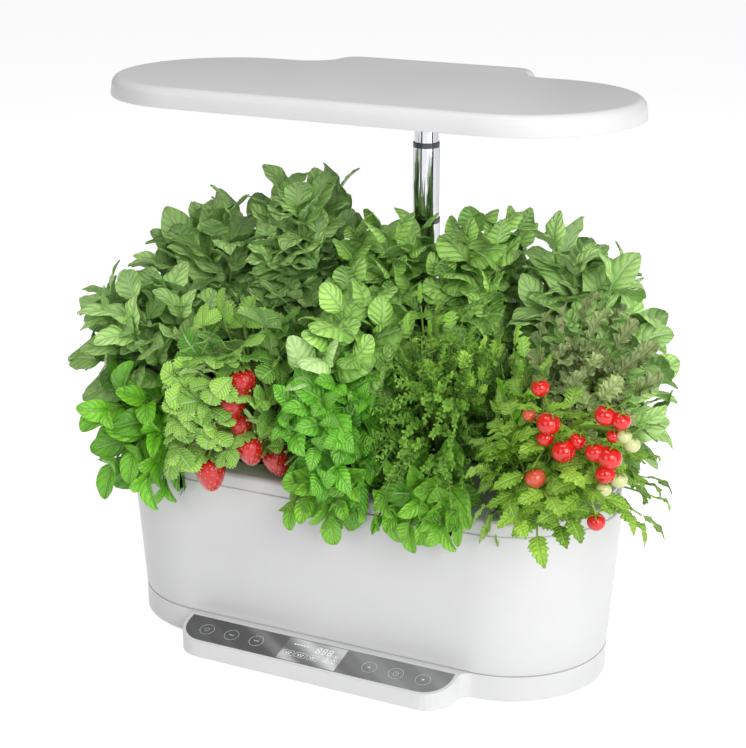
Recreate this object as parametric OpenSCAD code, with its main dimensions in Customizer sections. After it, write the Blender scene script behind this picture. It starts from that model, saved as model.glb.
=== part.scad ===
// Countertop hydroponic garden: a round-ended water tank on a base with a sloping touch panel,
// a lid that carries ten plant pods, and a grow lamp on a three-stage telescopic post.
// Millimetres, +Z up. The origin is on the table under the middle of the base, +Y to the back.

/* [Body] */
// Distance from the middle to the centre of each round end
end_x = 126.5; // [110:0.5:150]
// Radius of the base's round ends, half of its depth
base_r = 80; // [74:0.5:84]
// Height of the seam between base and tank above the table
base_h = 22; // [20:0.5:26]
// How far the feet hold the base off the table
foot_gap = 1.5; // [1:0.1:3]
// Wall of the moulded shells
wall = 2.5; // [2:0.1:3]

/* [Tank] */
// Radius of the tank's round ends at its rim
tank_r = 89; // [86:0.5:94]
// Height of the tank above the seam
tank_h = 120.5; // [100:0.5:140]
// Thickness of the tank's floor
tank_floor = 3; // [2:0.5:4]

/* [Lid] */
// Height of the lid above the tank's rim
lid_h = 11.5; // [9:0.5:16]
// How far the lid's side stands in from the tank's side
lid_inset = 1.4; // [0.5:0.1:1.8]
// Radius of the lid's top edge
lid_edge_r = 3.5; // [1.5:0.5:5]
// Thickness of the lid's top
lid_top = 3; // [2:0.5:4]
// How far the lid's skirt reaches down inside the tank
skirt_h = 11; // [6:0.5:20]

/* [Touch panel] */
// Half width of the panel's tray
tray_half_w = 122; // [105:1:124]
// How far the tray stands out in front of the base
tray_reach = 37.5; // [30:0.5:45]
// Width of the flat lip between tank and panel
tray_lip = 7; // [5:0.5:10]
// Slope of the panel towards the user, in degrees
tray_slope = 13.5; // [8:0.5:16]
// Radius of the tray's front corners
tray_corner_r = 24; // [12:0.5:26]
// Radius of the hollow where the tray runs into the base
tray_fillet_r = 10; // [6:0.5:12]
// Rim of the tray around the panel
panel_rim = 3; // [3:0.5:6]
// Thickness of the tinted panel
panel_t = 2; // [1.5:0.25:2.5]
// Distance between neighbouring touch keys
key_pitch = 23.3; // [20:0.1:26]
// Distance from the middle to the first key on each side
key_start = 51.2; // [40:0.1:52]

/* [Post] */
// Distance from the middle of the base back to the post
post_y = 106; // [102:0.5:112]
// Outer diameter of the lower tube
lower_d = 24; // [23.4:0.1:26]
// Outer diameter of the middle tube
middle_d = 22.4; // [21.4:0.05:22.4]
// Outer diameter of the upper tube
upper_d = 20; // [18:0.1:20.6]
// Wall of the tubes
tube_wall = 0.7; // [0.5:0.05:0.75]
// Length of the lower tube
lower_len = 320; // [290:1:325]
// Length of the middle tube
middle_len = 200; // [170:1:240]
// Length of the upper tube
upper_len = 180; // [150:1:210]
// How far the middle tube stands out of the lower one
middle_out = 60; // [40:1:80]
// How far the upper tube stands out of the middle one
upper_out = 47.5; // [30:0.5:60]
// Height of the socket's collar above the base
socket_h = 36; // [20:1:50]
// Half width of the base's rear lobe, which carries the post
lobe_half_w = 34; // [28:1:40]

/* [Lamp] */
// Radius of the lamp's round ends at its lower rim
lamp_r = 94; // [88:0.5:98]
// Height of the lamp head
lamp_h = 15.5; // [14:0.5:24]
// Half width of the lamp's rear lobe, over the post
lamp_lobe_half_w = 91; // [70:1:100]
// How far the lamp's rear lobe stands out
lamp_lobe_reach = 43; // [34:0.5:50]
// Radius of the lamp's top edge
lamp_edge_r = 7.5; // [4:0.5:9]
// Rows of light chips
led_rows = 6; // [4:1:8]
// Chips in each row
led_columns = 22; // [12:1:26]
// Distance between neighbouring light chips
led_pitch = 15; // [12:0.5:15]

/* [Pods] */
// Distance between neighbouring pods in a row
pod_pitch = 80; // [70:1:80]
// Distance of each row from the middle
row_y = 42; // [38:0.5:46]
// Radius of the pod holes in the lid
pod_hole_r = 17; // [14:0.5:18]
// Width of a basket's flange around its hole
flange_w = 2.5; // [1.5:0.5:4]
// Depth of a basket below the lid's top
basket_h = 42; // [30:1:50]

/* [Hidden] */
$fn = 96;

eps = 0.01;
slip = 0.1;          // radial play between parts that slide
seat = 0.3;          // play between moulded parts that drop into each other
run = 0.05;          // radial play of a turning pin in its hole
beyond = 400;        // reach of a cut that goes past the whole part

// Heights of the seams
tank_top = base_h + tank_h;
lid_z = tank_top + lid_h;
floor_z = base_h + tank_floor;

// Screws that hold the bottom cover, base and tank together
cover_t = 3;
screw_r = 1.5;
screw_head_r = 3;
screw_head_h = 1.4;
boss_r = 4.2;
tank_boss_h = 5;
screw_len = 24;
screw_at = [[-150, 45], [0, 58], [150, 45], [-150, -45], [0, -58], [150, -45]];

foot_r = 9;
foot_t = foot_gap + 1;
foot_at = [[-130, 53], [130, 53], [-130, -53], [130, -53]];

// Panel, display and board, measured along the slope from its upper edge
slope_y = base_r + tray_lip;
tray_corner = min(tray_corner_r, tray_reach - tray_fillet_r - 1);
panel_len = (tray_reach - tray_lip) / cos(tray_slope) - panel_rim;
panel_mid = panel_len / 2;
panel_ledge = 3;
display_w = 52;
display_d = panel_len - 2 * panel_ledge - 1;
display_t = 2.4;
board_t = 1.6;
board_d = 16;
board_w = 2 * (key_start + 2 * key_pitch) + board_d;
board_hole_r = 1.2;
board_chip = [12, 10];
spring_h = 3.6;
spring_r = 4.6;
spring_wire = 0.8;
spring_disc_t = 0.4;

// Power inlet in the rear wall: its x and height, its bore and its box
power_at = [96, 12];
jack_r = 4.5;
jack_bore = 2.9;
jack_len = 11;
jack_pin_r = 1;

// Post
lower_r = lower_d / 2;
middle_r = middle_d / 2;
upper_r = upper_d / 2;
collar_h = 4;
collar_lip = 0.2;
socket_bottom = 6;
socket_wall = 4;
socket_floor = 3;
socket_flange = [3, 2];
socket_neck = 2.2;
post_pin_r = 3;
post_pin_h = 12;
lower_z = socket_bottom + socket_floor;
lower_top = lower_z + lower_len;
middle_top = lower_top + collar_h + middle_out;
lamp_z = middle_top + collar_h + upper_out;
upper_top = lamp_z + lamp_h - 3 * wall / 2 - 1;
lobe_reach = post_y + 24 - base_r;
lobe_corner_r = 16;
lobe_sink = 0.2;

// Lamp
lamp_corner_r = 22;
lamp_fillet_r = 20;
lamp_top = lamp_z + lamp_h;
lamp_draft = 1;
lamp_wall = 2;
lens_t = 2;
lens_recess = 0.6;
lamp_boss_r = 4;
chip = [3, 3, 0.8];
lamp_screw_at = [[-170, 40], [-170, -40], [0, -72], [170, 40], [170, -40], [-60, 112], [60, 112]];
led_board_r = 66;
led_board_t = 1.6;
led_edge = 12;
led_gap = 1.6;       // space between lens and board, which holds the chips

// Pump, which lies along X on the tank's floor
pump_x = 62;
pump_y = 0;
pump_z = floor_z + 17;
pump_box = [38, 34, 30];
rotor_r = 8;
impeller_r = 11.5;
impeller_w = 7;
nozzle_r = 5;
nozzle_h = 28;
nozzle_wall = 1.4;
nozzle_x = pump_x - pump_box.x / 2 + nozzle_r + 1;
well_end = 6;
cover_plate = 4;
intake = [8, 2.4];
intake_pitch = [14, 6];
riser_wall = 1.5;
riser_gap = 7;
shaft_r = 1;
blade_t = 1.4;
hub_r = 3.2;
lead_r = 2;
lead_bend = 6;
lead_x = pump_x + pump_box.x / 2 + lead_bend + 12;

// Float in the lid's left end, fill port as far out in its right end
float_r = 11;
float_x = -(end_x + base_r - float_r - wall - 1);
port_at = [-float_x, 0];
port_size = [22, 28];
cap_margin = 3;
cap_t = 2.5;
cap_pin_r = 1.2;
knuckle_r = 2.6;
ear_w = 3;
ear_gap = 0.4;
cap_x = port_at.x - port_size.x / 2 - cap_margin - knuckle_r;
cap_len = port_size.y + 2 * cap_margin;
hinge_z = lid_z + knuckle_r + ear_gap;
float_h = 22;
float_stem_r = 2;
float_button_r = 4.5;
float_button_h = 3;
float_drop = 96;

// Pods: baskets, sponges and plants
flange_t = 2.5;
basket_wall = 1.2;
basket_taper = 4;
basket_floor = 1.5;
basket_r = pod_hole_r - 0.4;
basket_low = lid_z - basket_h;
window_w = 8;
window_edge = 5;     // rim below a window
window_rise = 9;     // wall between a window and the flange
basket_hole_r = 5;
stem_r = 2.6;
stem_depth = 9;
stem_rise = 16;
pods = [for (row = [-1, 1]) for (i = [-2:2]) [i * pod_pitch, row * row_y]];

// The space that each plant's foliage may fill, so that each pod lifts straight out
leaf_gap = 0.5;
side_limit = end_x + tank_r + 49.5;
front_limit = -tank_r - 47.5;
back_limit = tank_r + 35;
top_limit = lamp_z - 53.5;
low_limit = lid_z - 50;
leaf_floor = lid_z + flange_t + 2.5;
post_gap = 16;
swing_room = [[-16, 44], [-22, 22], [0, 40]];   // around the cap's pin
button_room = 42;
button_side = 8;

// Where one plant ends and the next begins along the front and the rear row
front_shares = [-1.475, -0.29, 0.71, 1.71];
rear_shares = [-1.5, -0.58, 0.5, 1.42];
front_split = concat([-side_limit], front_shares * pod_pitch, [side_limit]);
rear_split = concat([-side_limit], rear_shares * pod_pitch, [side_limit]);

// Foliage: the crown's middle from the pod's rim, its radii, a leaf's length and width, and how many leaves
PLANTS = [
    [[-28, -18, 22], [76, 72, 70], [50, 34], 60],
    [[13, -28, 50], [64, 70, 76], [38, 34], 60],
    [[18, -28, 40], [60, 70, 70], [44, 30], 60],
    [[18, -26, 46], [58, 70, 76], [34, 22], 64],
    [[34, -20, 44], [76, 74, 82], [40, 28], 60],
    [[-28, 2, 90], [80, 68, 96], [60, 44], 60],
    [[-4, 4, 130], [60, 66, 100], [56, 42], 56],
    [[-4, 2, 128], [60, 50, 100], [46, 38], 56],
    [[2, 6, 124], [60, 68, 98], [46, 38], 56],
    [[28, 2, 106], [80, 68, 106], [60, 44], 60]];
leaf_t = 3;
core_share = 0.6;

// Fruit from the rim of the pod it grows in: berries on pod 2, tomatoes on pod 5
berry_r = 11;
berries = [[2, -80, 15], [45, -66, 16], [37, -78, 36], [22, -76, 70], [31, -72, 86], [27, -80, 52]];
tomato_r = 8.5;
tomatoes = [
    [37, -66, 92], [51, -68, 76], [74, -60, 100], [84, -56, 98],
    [78, -66, 78], [84, -62, 64], [30, -70, 52], [76, -66, 27]];

// ---------------------------------------------------------------- shapes that repeat

// Points of an arc about centre c, from angle a0 to a1
function arc(c, r, a0, a1, n = 6) =
    [for (i = [0:n]) let (a = a0 + (a1 - a0) * i / n) c + r * [cos(a), sin(a)]];

// Right half of a lobe that stands out of a straight side at distance side from the middle, drawn towards +Y.
// Its hollow starts sink deep in that side, so that the two outlines cross and don't only touch
function lobe_half(half_w, side, reach, corner, fillet, inset, sink = 0) = concat(
    arc([half_w + fillet, side + fillet - sink], fillet + inset, -90, -180, 8),
    arc([half_w - corner, side + reach - corner], corner - inset, 0, 90, 8));

function mirrored(points) = [for (i = [len(points) - 1:-1:0]) [-points[i].x, points[i].y]];

// A round-ended plate of end radius r
module stadium(r, half = end_x) {
    square([2 * half, 2 * r], center = true);
    for (side = [-1, 1])
        translate([side * half, 0]) circle(r);
}

module lobe(half_w, side, reach, corner, fillet, inset = 0) {
    half = lobe_half(half_w, side, reach, corner, fillet, inset, lobe_sink);
    foot = [[half_w, side - 12], [-half_w, side - 12]];
    polygon(concat(half, mirrored(half), [foot[1], foot[0]]));
}

// The base's outline, moved in by inset
module base_outline(inset = 0) {
    stadium(base_r - inset);
    lobe(lobe_half_w, base_r, lobe_reach, lobe_corner_r, tray_fillet_r, inset);
    tray_outline(inset);
}

module tray_outline(inset = 0) {
    rotate(180) lobe(tray_half_w, base_r, tray_reach, tray_corner, tray_fillet_r, inset);
}

// A closed profile of [radius, height] points carried round a stadium of end distance half
module round_ended(profile, half = end_x) {
    for (side = [-1, 1])
        translate([side * half, 0, 0])
            rotate(-90 * side)
                rotate_extrude(angle = 180) polygon(profile);
    for (flip = [0, 1])
        mirror([0, flip, 0])
            translate([-half, 0, 0])
                rotate([90, 0, 90])
                    linear_extrude(2 * half) polygon(profile);
}

// Moves children to the panel's plane: origin on its upper edge, +Y up the slope, +Z out of it
module on_slope(depth = 0) {
    translate([0, -slope_y, base_h])
        rotate([tray_slope, 0, 0])
            translate([0, 0, -depth]) children();
}

module tube(outer, inner, z, h) {
    translate([0, 0, z]) difference() {
        cylinder(r = outer, h = h);
        translate([0, 0, -1]) cylinder(r = inner, h = h + 2);
    }
}

module at_post() {
    translate([0, post_y, 0]) children();
}

// ---------------------------------------------------------------- base

// The base as a solid whose side is moved in by inset and whose top is lowered by drop
module base_block(inset, drop, z) {
    difference() {
        translate([0, 0, z]) linear_extrude(base_h - drop - z) base_outline(inset);
        on_slope(drop) translate([-beyond / 2, -beyond, 0]) cube([beyond, beyond, beyond]);
    }
}

module base_housing() {
    color("whitesmoke") {
        difference() {
            base_block(0, 0, foot_gap);
            difference() {
                base_block(wall, wall, foot_gap - 1);
                for (at = screw_at)
                    translate([at.x, at.y, foot_gap + cover_t]) cylinder(r = boss_r, h = base_h);
            }
            panel_recess();
            at_post()
                translate([0, 0, base_h - wall - 1])
                    cylinder(r = lower_r + slip + socket_wall + seat / 2, h = wall + 2);
            for (at = screw_at)
                translate([at.x, at.y, 0]) cylinder(r = screw_r + slip, h = base_h + 1);
            translate([power_at.x, base_r - wall - 1, power_at.y])
                rotate([-90, 0, 0]) cylinder(r = jack_r + seat / 2, h = wall + 2);
            translate([lead_x, pump_y, base_h - wall - 1]) cylinder(r = lead_r + 1.5, h = wall + 2);
        }
    }
}

// Seat for the panel, and the window below it
module panel_recess() {
    on_slope(panel_t) linear_extrude(20) panel_outline(-slip);
    on_slope(panel_t + 10) linear_extrude(20) panel_outline(panel_ledge);
}

// The panel's outline on its slope, moved in by inset
module panel_outline(inset) {
    corner = tray_corner - panel_rim - inset;
    half_w = tray_half_w - panel_rim - inset;
    front = -panel_len + inset;
    back = -inset;
    polygon(concat(
        [[half_w, back]],
        arc([half_w - corner, front + corner], corner, 0, -90),
        arc([-half_w + corner, front + corner], corner, -90, -180),
        [[-half_w, back]]));
}

module bottom_cover() {
    color("lightgray")
    difference() {
        translate([0, 0, foot_gap]) linear_extrude(cover_t) base_outline(wall + seat);
        for (at = screw_at) {
            translate([at.x, at.y, 0]) cylinder(r = screw_r + 2 * slip, h = 20);
            translate([at.x, at.y, 0]) cylinder(r = screw_head_r + seat, h = foot_gap + screw_head_h + slip);
        }
        for (at = foot_at)
            translate([at.x, at.y, 0]) cylinder(r = foot_r, h = foot_t);
    }
}

module rubber_feet() {
    color("dimgray")
    for (at = foot_at)
        translate([at.x, at.y, 0]) cylinder(r = foot_r, h = foot_t);
}

// Six long screws, from the bottom cover through the base into the tank's bosses
module cover_screws() {
    color("silver")
    for (at = screw_at)
        translate([at.x, at.y, foot_gap + slip]) {
            difference() {
                cylinder(r = screw_head_r, h = screw_head_h);
                translate([0, 0, -1]) cylinder(r = 1.2, h = 1.7, $fn = 6);
            }
            cylinder(r = screw_r, h = screw_len);
        }
}

module control_panel() {
    color([0.2, 0.2, 0.21])
    on_slope(panel_t) linear_extrude(panel_t) panel_outline(0);
}

module display_module() {
    color("dimgray")
    on_slope(panel_t + display_t)
        translate([-display_w / 2, -panel_mid - display_d / 2, 0]) cube([display_w, display_d, display_t]);
}

// The board lies parallel to the panel, a spring's height below it
module control_board() {
    color("seagreen")
    on_slope(panel_t + spring_h + board_t) {
        difference() {
            translate([-board_w / 2, -panel_mid - board_d / 2, 0]) cube([board_w, board_d, board_t]);
            for (side = [-1, 1])
                translate([side * (board_w - board_d / 2) / 2, -panel_mid, -1])
                    cylinder(r = board_hole_r, h = board_t + 2);
        }
        translate([-board_chip.x / 2, -panel_mid - board_chip.y / 2, board_t])
            cube([board_chip.x, board_chip.y, spring_h - display_t]);
    }
}

// Six sensing springs, one below each key: a coil's sleeve under a flat disc
module touch_springs() {
    color("gold")
    on_slope(panel_t + spring_h)
        for (side = [-1, 1])
            for (i = [0:2])
                translate([side * (key_start + i * key_pitch), -panel_mid, 0]) {
                    tube(spring_r - spring_wire, spring_r - 2 * spring_wire, 0, spring_h - spring_disc_t);
                    translate([0, 0, spring_h - spring_disc_t]) cylinder(r = spring_r, h = spring_disc_t);
                }
}

// Low-voltage inlet in the base's rear wall, with its centre pin
module power_inlet() {
    color([0.12, 0.12, 0.12])
    translate([power_at.x, base_r, power_at.y]) rotate([90, 0, 0]) {
        difference() {
            union() {
                cylinder(r = jack_r, h = jack_len + 3);
                translate([-jack_r - 1.5, -jack_r - 1, wall])
                    cube([2 * jack_r + 3, 2 * jack_r + 2, jack_len]);
            }
            translate([0, 0, -1]) cylinder(r = jack_bore, h = jack_len + 1);
        }
        cylinder(r = jack_pin_r, h = jack_len + 1);
    }
}

// Cup that the post plugs into, with its contact pin
module post_socket() {
    bore = lower_r + slip;
    color("whitesmoke")
    at_post() {
        difference() {
            union() {
                translate([0, 0, socket_bottom])
                    cylinder(r = bore + socket_wall, h = base_h - socket_bottom + eps);
                translate([0, 0, base_h])
                    cylinder(r = bore + socket_wall + socket_flange.x, h = socket_flange.y);
                translate([0, 0, base_h + socket_flange.y])
                    cylinder(r1 = bore + socket_wall + 1, r2 = bore + socket_neck,
                             h = socket_h - socket_flange.y);
            }
            translate([0, 0, lower_z]) cylinder(r = bore, h = base_h + socket_h);
        }
        translate([0, 0, lower_z - 1]) cylinder(r = post_pin_r, h = post_pin_h + 1);
        translate([0, 0, lower_z + post_pin_h - eps]) cylinder(r1 = post_pin_r, r2 = post_pin_r - 1, h = 1.5);
    }
}

// ---------------------------------------------------------------- tank and pump

// Outer radius of the tank's ends at height z
function tank_r_at(z) = base_r + (tank_r - base_r) * (z - base_h) / tank_h;

module water_tank() {
    color("whitesmoke")
    difference() {
        union() {
            difference() {
                round_ended([[0, base_h], [base_r, base_h], [tank_r, tank_top], [0, tank_top]]);
                round_ended([
                    [0, floor_z], [tank_r_at(floor_z) - wall, floor_z],
                    [tank_r - wall, tank_top + eps], [0, tank_top + eps]]);
            }
            for (at = screw_at)
                translate([at.x, at.y, floor_z - 1]) cylinder(r = boss_r, h = tank_boss_h + 1);
        }
        for (at = screw_at)
            translate([at.x, at.y, base_h - 1]) cylinder(r = screw_r, h = tank_floor + 4);
        translate([lead_x, pump_y, base_h - 1]) cylinder(r = lead_r + 1, h = tank_floor + 2);
    }
}

module along_pump() {
    translate([pump_x, pump_y, pump_z]) rotate([0, 90, 0]) children();
}

// Motor block with the rotor's well, the impeller's chamber and the outlet nozzle
module pump_housing() {
    half = pump_box.x / 2;
    color([0.15, 0.15, 0.16])
    difference() {
        union() {
            translate([pump_x - half, pump_y - pump_box.y / 2, floor_z]) cube(pump_box);
            translate([nozzle_x, pump_y, pump_z]) cylinder(r = nozzle_r, h = nozzle_h);
        }
        along_pump() translate([0, 0, -half - 1]) cylinder(r = impeller_r + 1, h = impeller_w + 3);
        along_pump() translate([0, 0, -half]) cylinder(r = rotor_r + 2 * run, h = pump_box.x - well_end);
        along_pump() translate([0, 0, -half]) cylinder(r = shaft_r + run, h = pump_box.x - 2);
        translate([nozzle_x, pump_y, pump_z]) cylinder(r = nozzle_r - nozzle_wall, h = nozzle_h + 2);
    }
}

module pump_cover() {
    half = pump_box.x / 2;
    half_rise = intake_pitch.y + intake.y / 2;
    color([0.15, 0.15, 0.16])
    difference() {
        translate([pump_x - half - cover_plate, pump_y - pump_box.y / 2, floor_z])
            cube([cover_plate, pump_box.y, pump_box.z]);
        along_pump() translate([0, 0, -half - 1.5]) cylinder(r = shaft_r + run, h = 3);
        for (i = [-1, 1])
            for (k = [0:2])
                translate([pump_x - half - cover_plate - 1, pump_y + (i * intake_pitch.x - intake.x) / 2,
                           pump_z - half_rise + intake_pitch.y * k])
                    cube([cover_plate + 2, intake.x, intake.y]);
    }
}

// Magnet rotor on its shaft, with six impeller blades
module pump_rotor() {
    half = pump_box.x / 2;
    color("darkslategray")
    along_pump() {
        translate([0, 0, -half + impeller_w + 2]) cylinder(r = rotor_r, h = pump_box.x - impeller_w - 10);
        translate([0, 0, -half - 1]) cylinder(r = shaft_r, h = pump_box.x - 2);
        translate([0, 0, -half + 0.8]) cylinder(r = hub_r, h = impeller_w + 2);
        for (i = [0:5])
            rotate(60 * i)
                translate([hub_r - 1.2, -blade_t / 2, -half + 0.8])
                    cube([impeller_r - hub_r + 1.2, blade_t, impeller_w - 1]);
    }
}

module riser_tube() {
    color("lightgray")
    translate([nozzle_x, pump_y, 0])
        tube(nozzle_r + slip + riser_wall, nozzle_r + slip, floor_z + pump_box.z + 1,
             tank_top - floor_z - pump_box.z - riser_gap - 1);
}

// Lead from the pump into the base, with the grommet that seals it in the tank's floor
module pump_lead() {
    start = pump_x + pump_box.x / 2;
    bend_z = pump_z - 2;
    color([0.12, 0.12, 0.12]) {
        translate([start, pump_y, bend_z])
            rotate([0, 90, 0]) cylinder(r = lead_r, h = lead_x - lead_bend - start);
        translate([lead_x - lead_bend, pump_y, bend_z - lead_bend])
            rotate([90, 0, 0])
                rotate_extrude(angle = 90) translate([lead_bend, 0]) circle(lead_r);
        translate([lead_x, pump_y, base_h - wall - 2])
            cylinder(r = lead_r, h = bend_z - lead_bend - base_h + wall + 2);
        translate([lead_x, pump_y, base_h]) cylinder(r = lead_r + 1, h = tank_floor);
        translate([lead_x, pump_y, floor_z]) cylinder(r = lead_r + 2.5, h = 2);
    }
}

// ---------------------------------------------------------------- lid

module grow_lid() {
    side_r = tank_r - lid_inset;
    skirt_r = tank_r - wall - 1.5;
    color("whitesmoke") {
        difference() {
            union() {
                round_ended(concat(
                    [[0, lid_z]],
                    arc([side_r - lid_edge_r, lid_z - lid_edge_r], lid_edge_r, 90, 0),
                    [[side_r, tank_top], [skirt_r, tank_top], [skirt_r, tank_top - skirt_h],
                     [skirt_r - wall, tank_top - skirt_h], [skirt_r - wall, lid_z - lid_top],
                     [0, lid_z - lid_top]]));
                translate([float_x, 0, lid_z - lid_top - 10]) cylinder(r = float_stem_r + 2.5, h = 11);
            }
            for (at = pods)
                translate([at.x, at.y, lid_z - 20]) cylinder(r = pod_hole_r, h = 40);
            translate([port_at.x - port_size.x / 2, -port_size.y / 2, lid_z - 20])
                cube([port_size.x, port_size.y, 40]);
            translate([float_x, 0, lid_z - 40]) cylinder(r = float_stem_r + slip, h = 60);
        }
        cap_ears();
    }
}

// Two ears on the lid that hold the cap's hinge pin
module cap_ears() {
    for (side = [-1, 1])
        translate([cap_x, side * (cap_len / 2 + ear_gap + ear_w / 2), 0])
            difference() {
                union() {
                    translate([-knuckle_r, -ear_w / 2, lid_z - eps])
                        cube([2 * knuckle_r, ear_w, hinge_z - lid_z + eps]);
                    translate([0, ear_w / 2, hinge_z]) rotate([90, 0, 0]) cylinder(r = knuckle_r, h = ear_w);
                }
                translate([0, ear_w, hinge_z]) rotate([90, 0, 0]) cylinder(r = cap_pin_r, h = 2 * ear_w);
            }
}

module cap_pin() {
    half = cap_len / 2 + ear_gap + ear_w;
    color("silver")
    translate([cap_x, half, hinge_z]) rotate([90, 0, 0]) cylinder(r = cap_pin_r, h = 2 * half);
}

module fill_cap() {
    plate_x = cap_x + knuckle_r + 0.6;
    color("whitesmoke")
    difference() {
        union() {
            translate([cap_x, cap_len / 2, hinge_z]) rotate([90, 0, 0]) cylinder(r = knuckle_r, h = cap_len);
            translate([cap_x, -cap_len / 2, hinge_z - 1]) cube([knuckle_r + 1.5, cap_len, 2]);
            translate([plate_x, -cap_len / 2, lid_z + 0.2])
                cube([port_size.x + 2 * cap_margin + 2, cap_len, cap_t]);
            translate([port_at.x - port_size.x / 2 + 1.5, -port_size.y / 2 + 1, lid_z - 2])
                cube([port_size.x - 3, port_size.y - 2, 3]);
        }
        translate([cap_x, cap_len, hinge_z])
            rotate([90, 0, 0]) cylinder(r = cap_pin_r + run, h = 2 * cap_len);
    }
}

// Float, stem and the button that shows the water level above the lid
module level_float() {
    low = lid_z - float_drop;
    color("orangered") {
        translate([float_x, 0, lid_z]) cylinder(r = float_button_r, h = float_button_h);
        translate([float_x, 0, low + 1]) cylinder(r = float_stem_r, h = lid_z - low);
    }
    color("ivory")
    translate([float_x, 0, low]) cylinder(r = float_r, h = float_h);
}

// ---------------------------------------------------------------- post

// Collar pressed into a tube's upper end: a flush ring on top and a sleeve inside it
module collar(outer, bore, top) {
    tube(outer + collar_lip, bore + slip, top, collar_h);
}

module lower_tube() {
    color("gainsboro")
    at_post() tube(lower_r, lower_r - tube_wall, lower_z, lower_len);
}

module lower_collar() {
    color("dimgray")
    at_post() collar(lower_r, middle_r, lower_top);
}

module middle_tube() {
    color("gainsboro")
    at_post() tube(middle_r, middle_r - tube_wall, middle_top - middle_len, middle_len);
}

module middle_collar() {
    color("dimgray")
    at_post() collar(middle_r - collar_lip, upper_r, middle_top);
}

module upper_tube() {
    color("gainsboro")
    at_post() tube(upper_r, upper_r - tube_wall, upper_top - upper_len, upper_len);
}

// ---------------------------------------------------------------- lamp

// Half of a section across the lamp head: out to its side at height z, and up to its rounded top edge
function lamp_profile(out, top, edge_r, z) = concat(
    [[0, top]],
    arc([out - lamp_draft - edge_r, top - edge_r], edge_r, 90, 0),
    [[out, z], [0, z]]);

// The lamp head's outer form from height z up, moved in by gap
module lamp_form(gap, z) {
    top = lamp_top - gap;
    edge_r = lamp_edge_r - gap;
    rear = lamp_r + lamp_lobe_reach - gap;
    round_ended(lamp_profile(lamp_r - gap, top, edge_r, z));
    intersection() {
        translate([0, 0, z])
            linear_extrude(top - z)
                lobe(lamp_lobe_half_w, lamp_r, lamp_lobe_reach, lamp_corner_r, lamp_fillet_r, gap);
        translate([-end_x, 0, 0])
            rotate([90, 0, 90])
                linear_extrude(2 * end_x) polygon(lamp_profile(rear, top, edge_r, z));
    }
}

// The lens, moved in by gap from the shell's wall
module lens_outline(gap) {
    stadium(lamp_r - lamp_wall - gap - 0.6);
    lobe(lamp_lobe_half_w, lamp_r - 0.6, lamp_lobe_reach, lamp_corner_r, lamp_fillet_r, lamp_wall + gap);
}

module lamp_shell() {
    ceiling = lamp_top - lamp_wall;
    color("whitesmoke") {
        difference() {
            lamp_form(0, lamp_z);
            lamp_form(lamp_wall, lamp_z - 1);
        }
        for (at = lamp_screw_at)
            translate([at.x, at.y, lamp_z + lens_recess + lens_t])
                difference() {
                    cylinder(r = lamp_boss_r, h = ceiling - lamp_z - lens_recess - lens_t + eps);
                    translate([0, 0, -1]) cylinder(r = screw_r - 0.3, h = 6);
                }
        at_post()
            translate([0, 0, lamp_z + lens_recess + lens_t])
                difference() {
                    cylinder(r = upper_r + 5, h = ceiling - lamp_z - lens_recess - lens_t + eps);
                    translate([0, 0, -1])
                        cylinder(r = upper_r, h = upper_top - lamp_z - lens_recess - lens_t + 1);
                }
    }
}

module lamp_lens() {
    color([0.93, 0.95, 0.97])
    difference() {
        translate([0, 0, lamp_z + lens_recess]) linear_extrude(lens_t) lens_outline(seat);
        at_post() translate([0, 0, lamp_z - 1]) cylinder(r = upper_r + slip, h = 10);
        for (at = lamp_screw_at) {
            translate([at.x, at.y, lamp_z - 1]) cylinder(r = screw_r + slip, h = 10);
            translate([at.x, at.y, lamp_z - 1]) cylinder(r = screw_head_r, h = 1 + lens_recess + 1.2);
        }
    }
}

module led_board() {
    color("white")
    difference() {
        translate([0, 0, lamp_z + lens_recess + lens_t + led_gap])
            linear_extrude(led_board_t) stadium(led_board_r);
        for (at = lamp_screw_at)
            translate([at.x, at.y, lamp_z]) cylinder(r = lamp_boss_r + seat, h = lamp_h);
    }
}

// Light chips under the board, in rows that stay clear of the screw bosses
module led_chips() {
    z = lamp_z + lens_recess + lens_t + led_gap - chip.z;
    row_gap = 2 * (led_board_r - led_edge) / (led_rows - 1);
    color("khaki")
    for (row = [0:led_rows - 1])
        for (column = [0:led_columns - 1]) {
            x = (column - (led_columns - 1) / 2) * led_pitch;
            y = -led_board_r + led_edge + row * row_gap;
            out = max(0, abs(x) - end_x);
            free = min([for (at = lamp_screw_at) norm([x, y] - at)]) > lamp_boss_r + 3;
            if (norm([out, y]) < led_board_r - 4 && free)
                translate([x - chip.x / 2, y - chip.y / 2, z]) cube(chip);
        }
}

module lamp_screws() {
    color("silver")
    for (at = lamp_screw_at)
        translate([at.x, at.y, lamp_z + lens_recess]) {
            translate([0, 0, 0.1]) cylinder(r = screw_head_r - 0.2, h = 1.1);
            translate([0, 0, 0.1]) cylinder(r = screw_r - 0.3, h = lens_t + 4.5);
        }
}

// ---------------------------------------------------------------- pods

// Inner radius of a basket at height z
function basket_inner_r(z) = basket_r - basket_wall - basket_taper * (lid_z - z) / basket_h;

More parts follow.
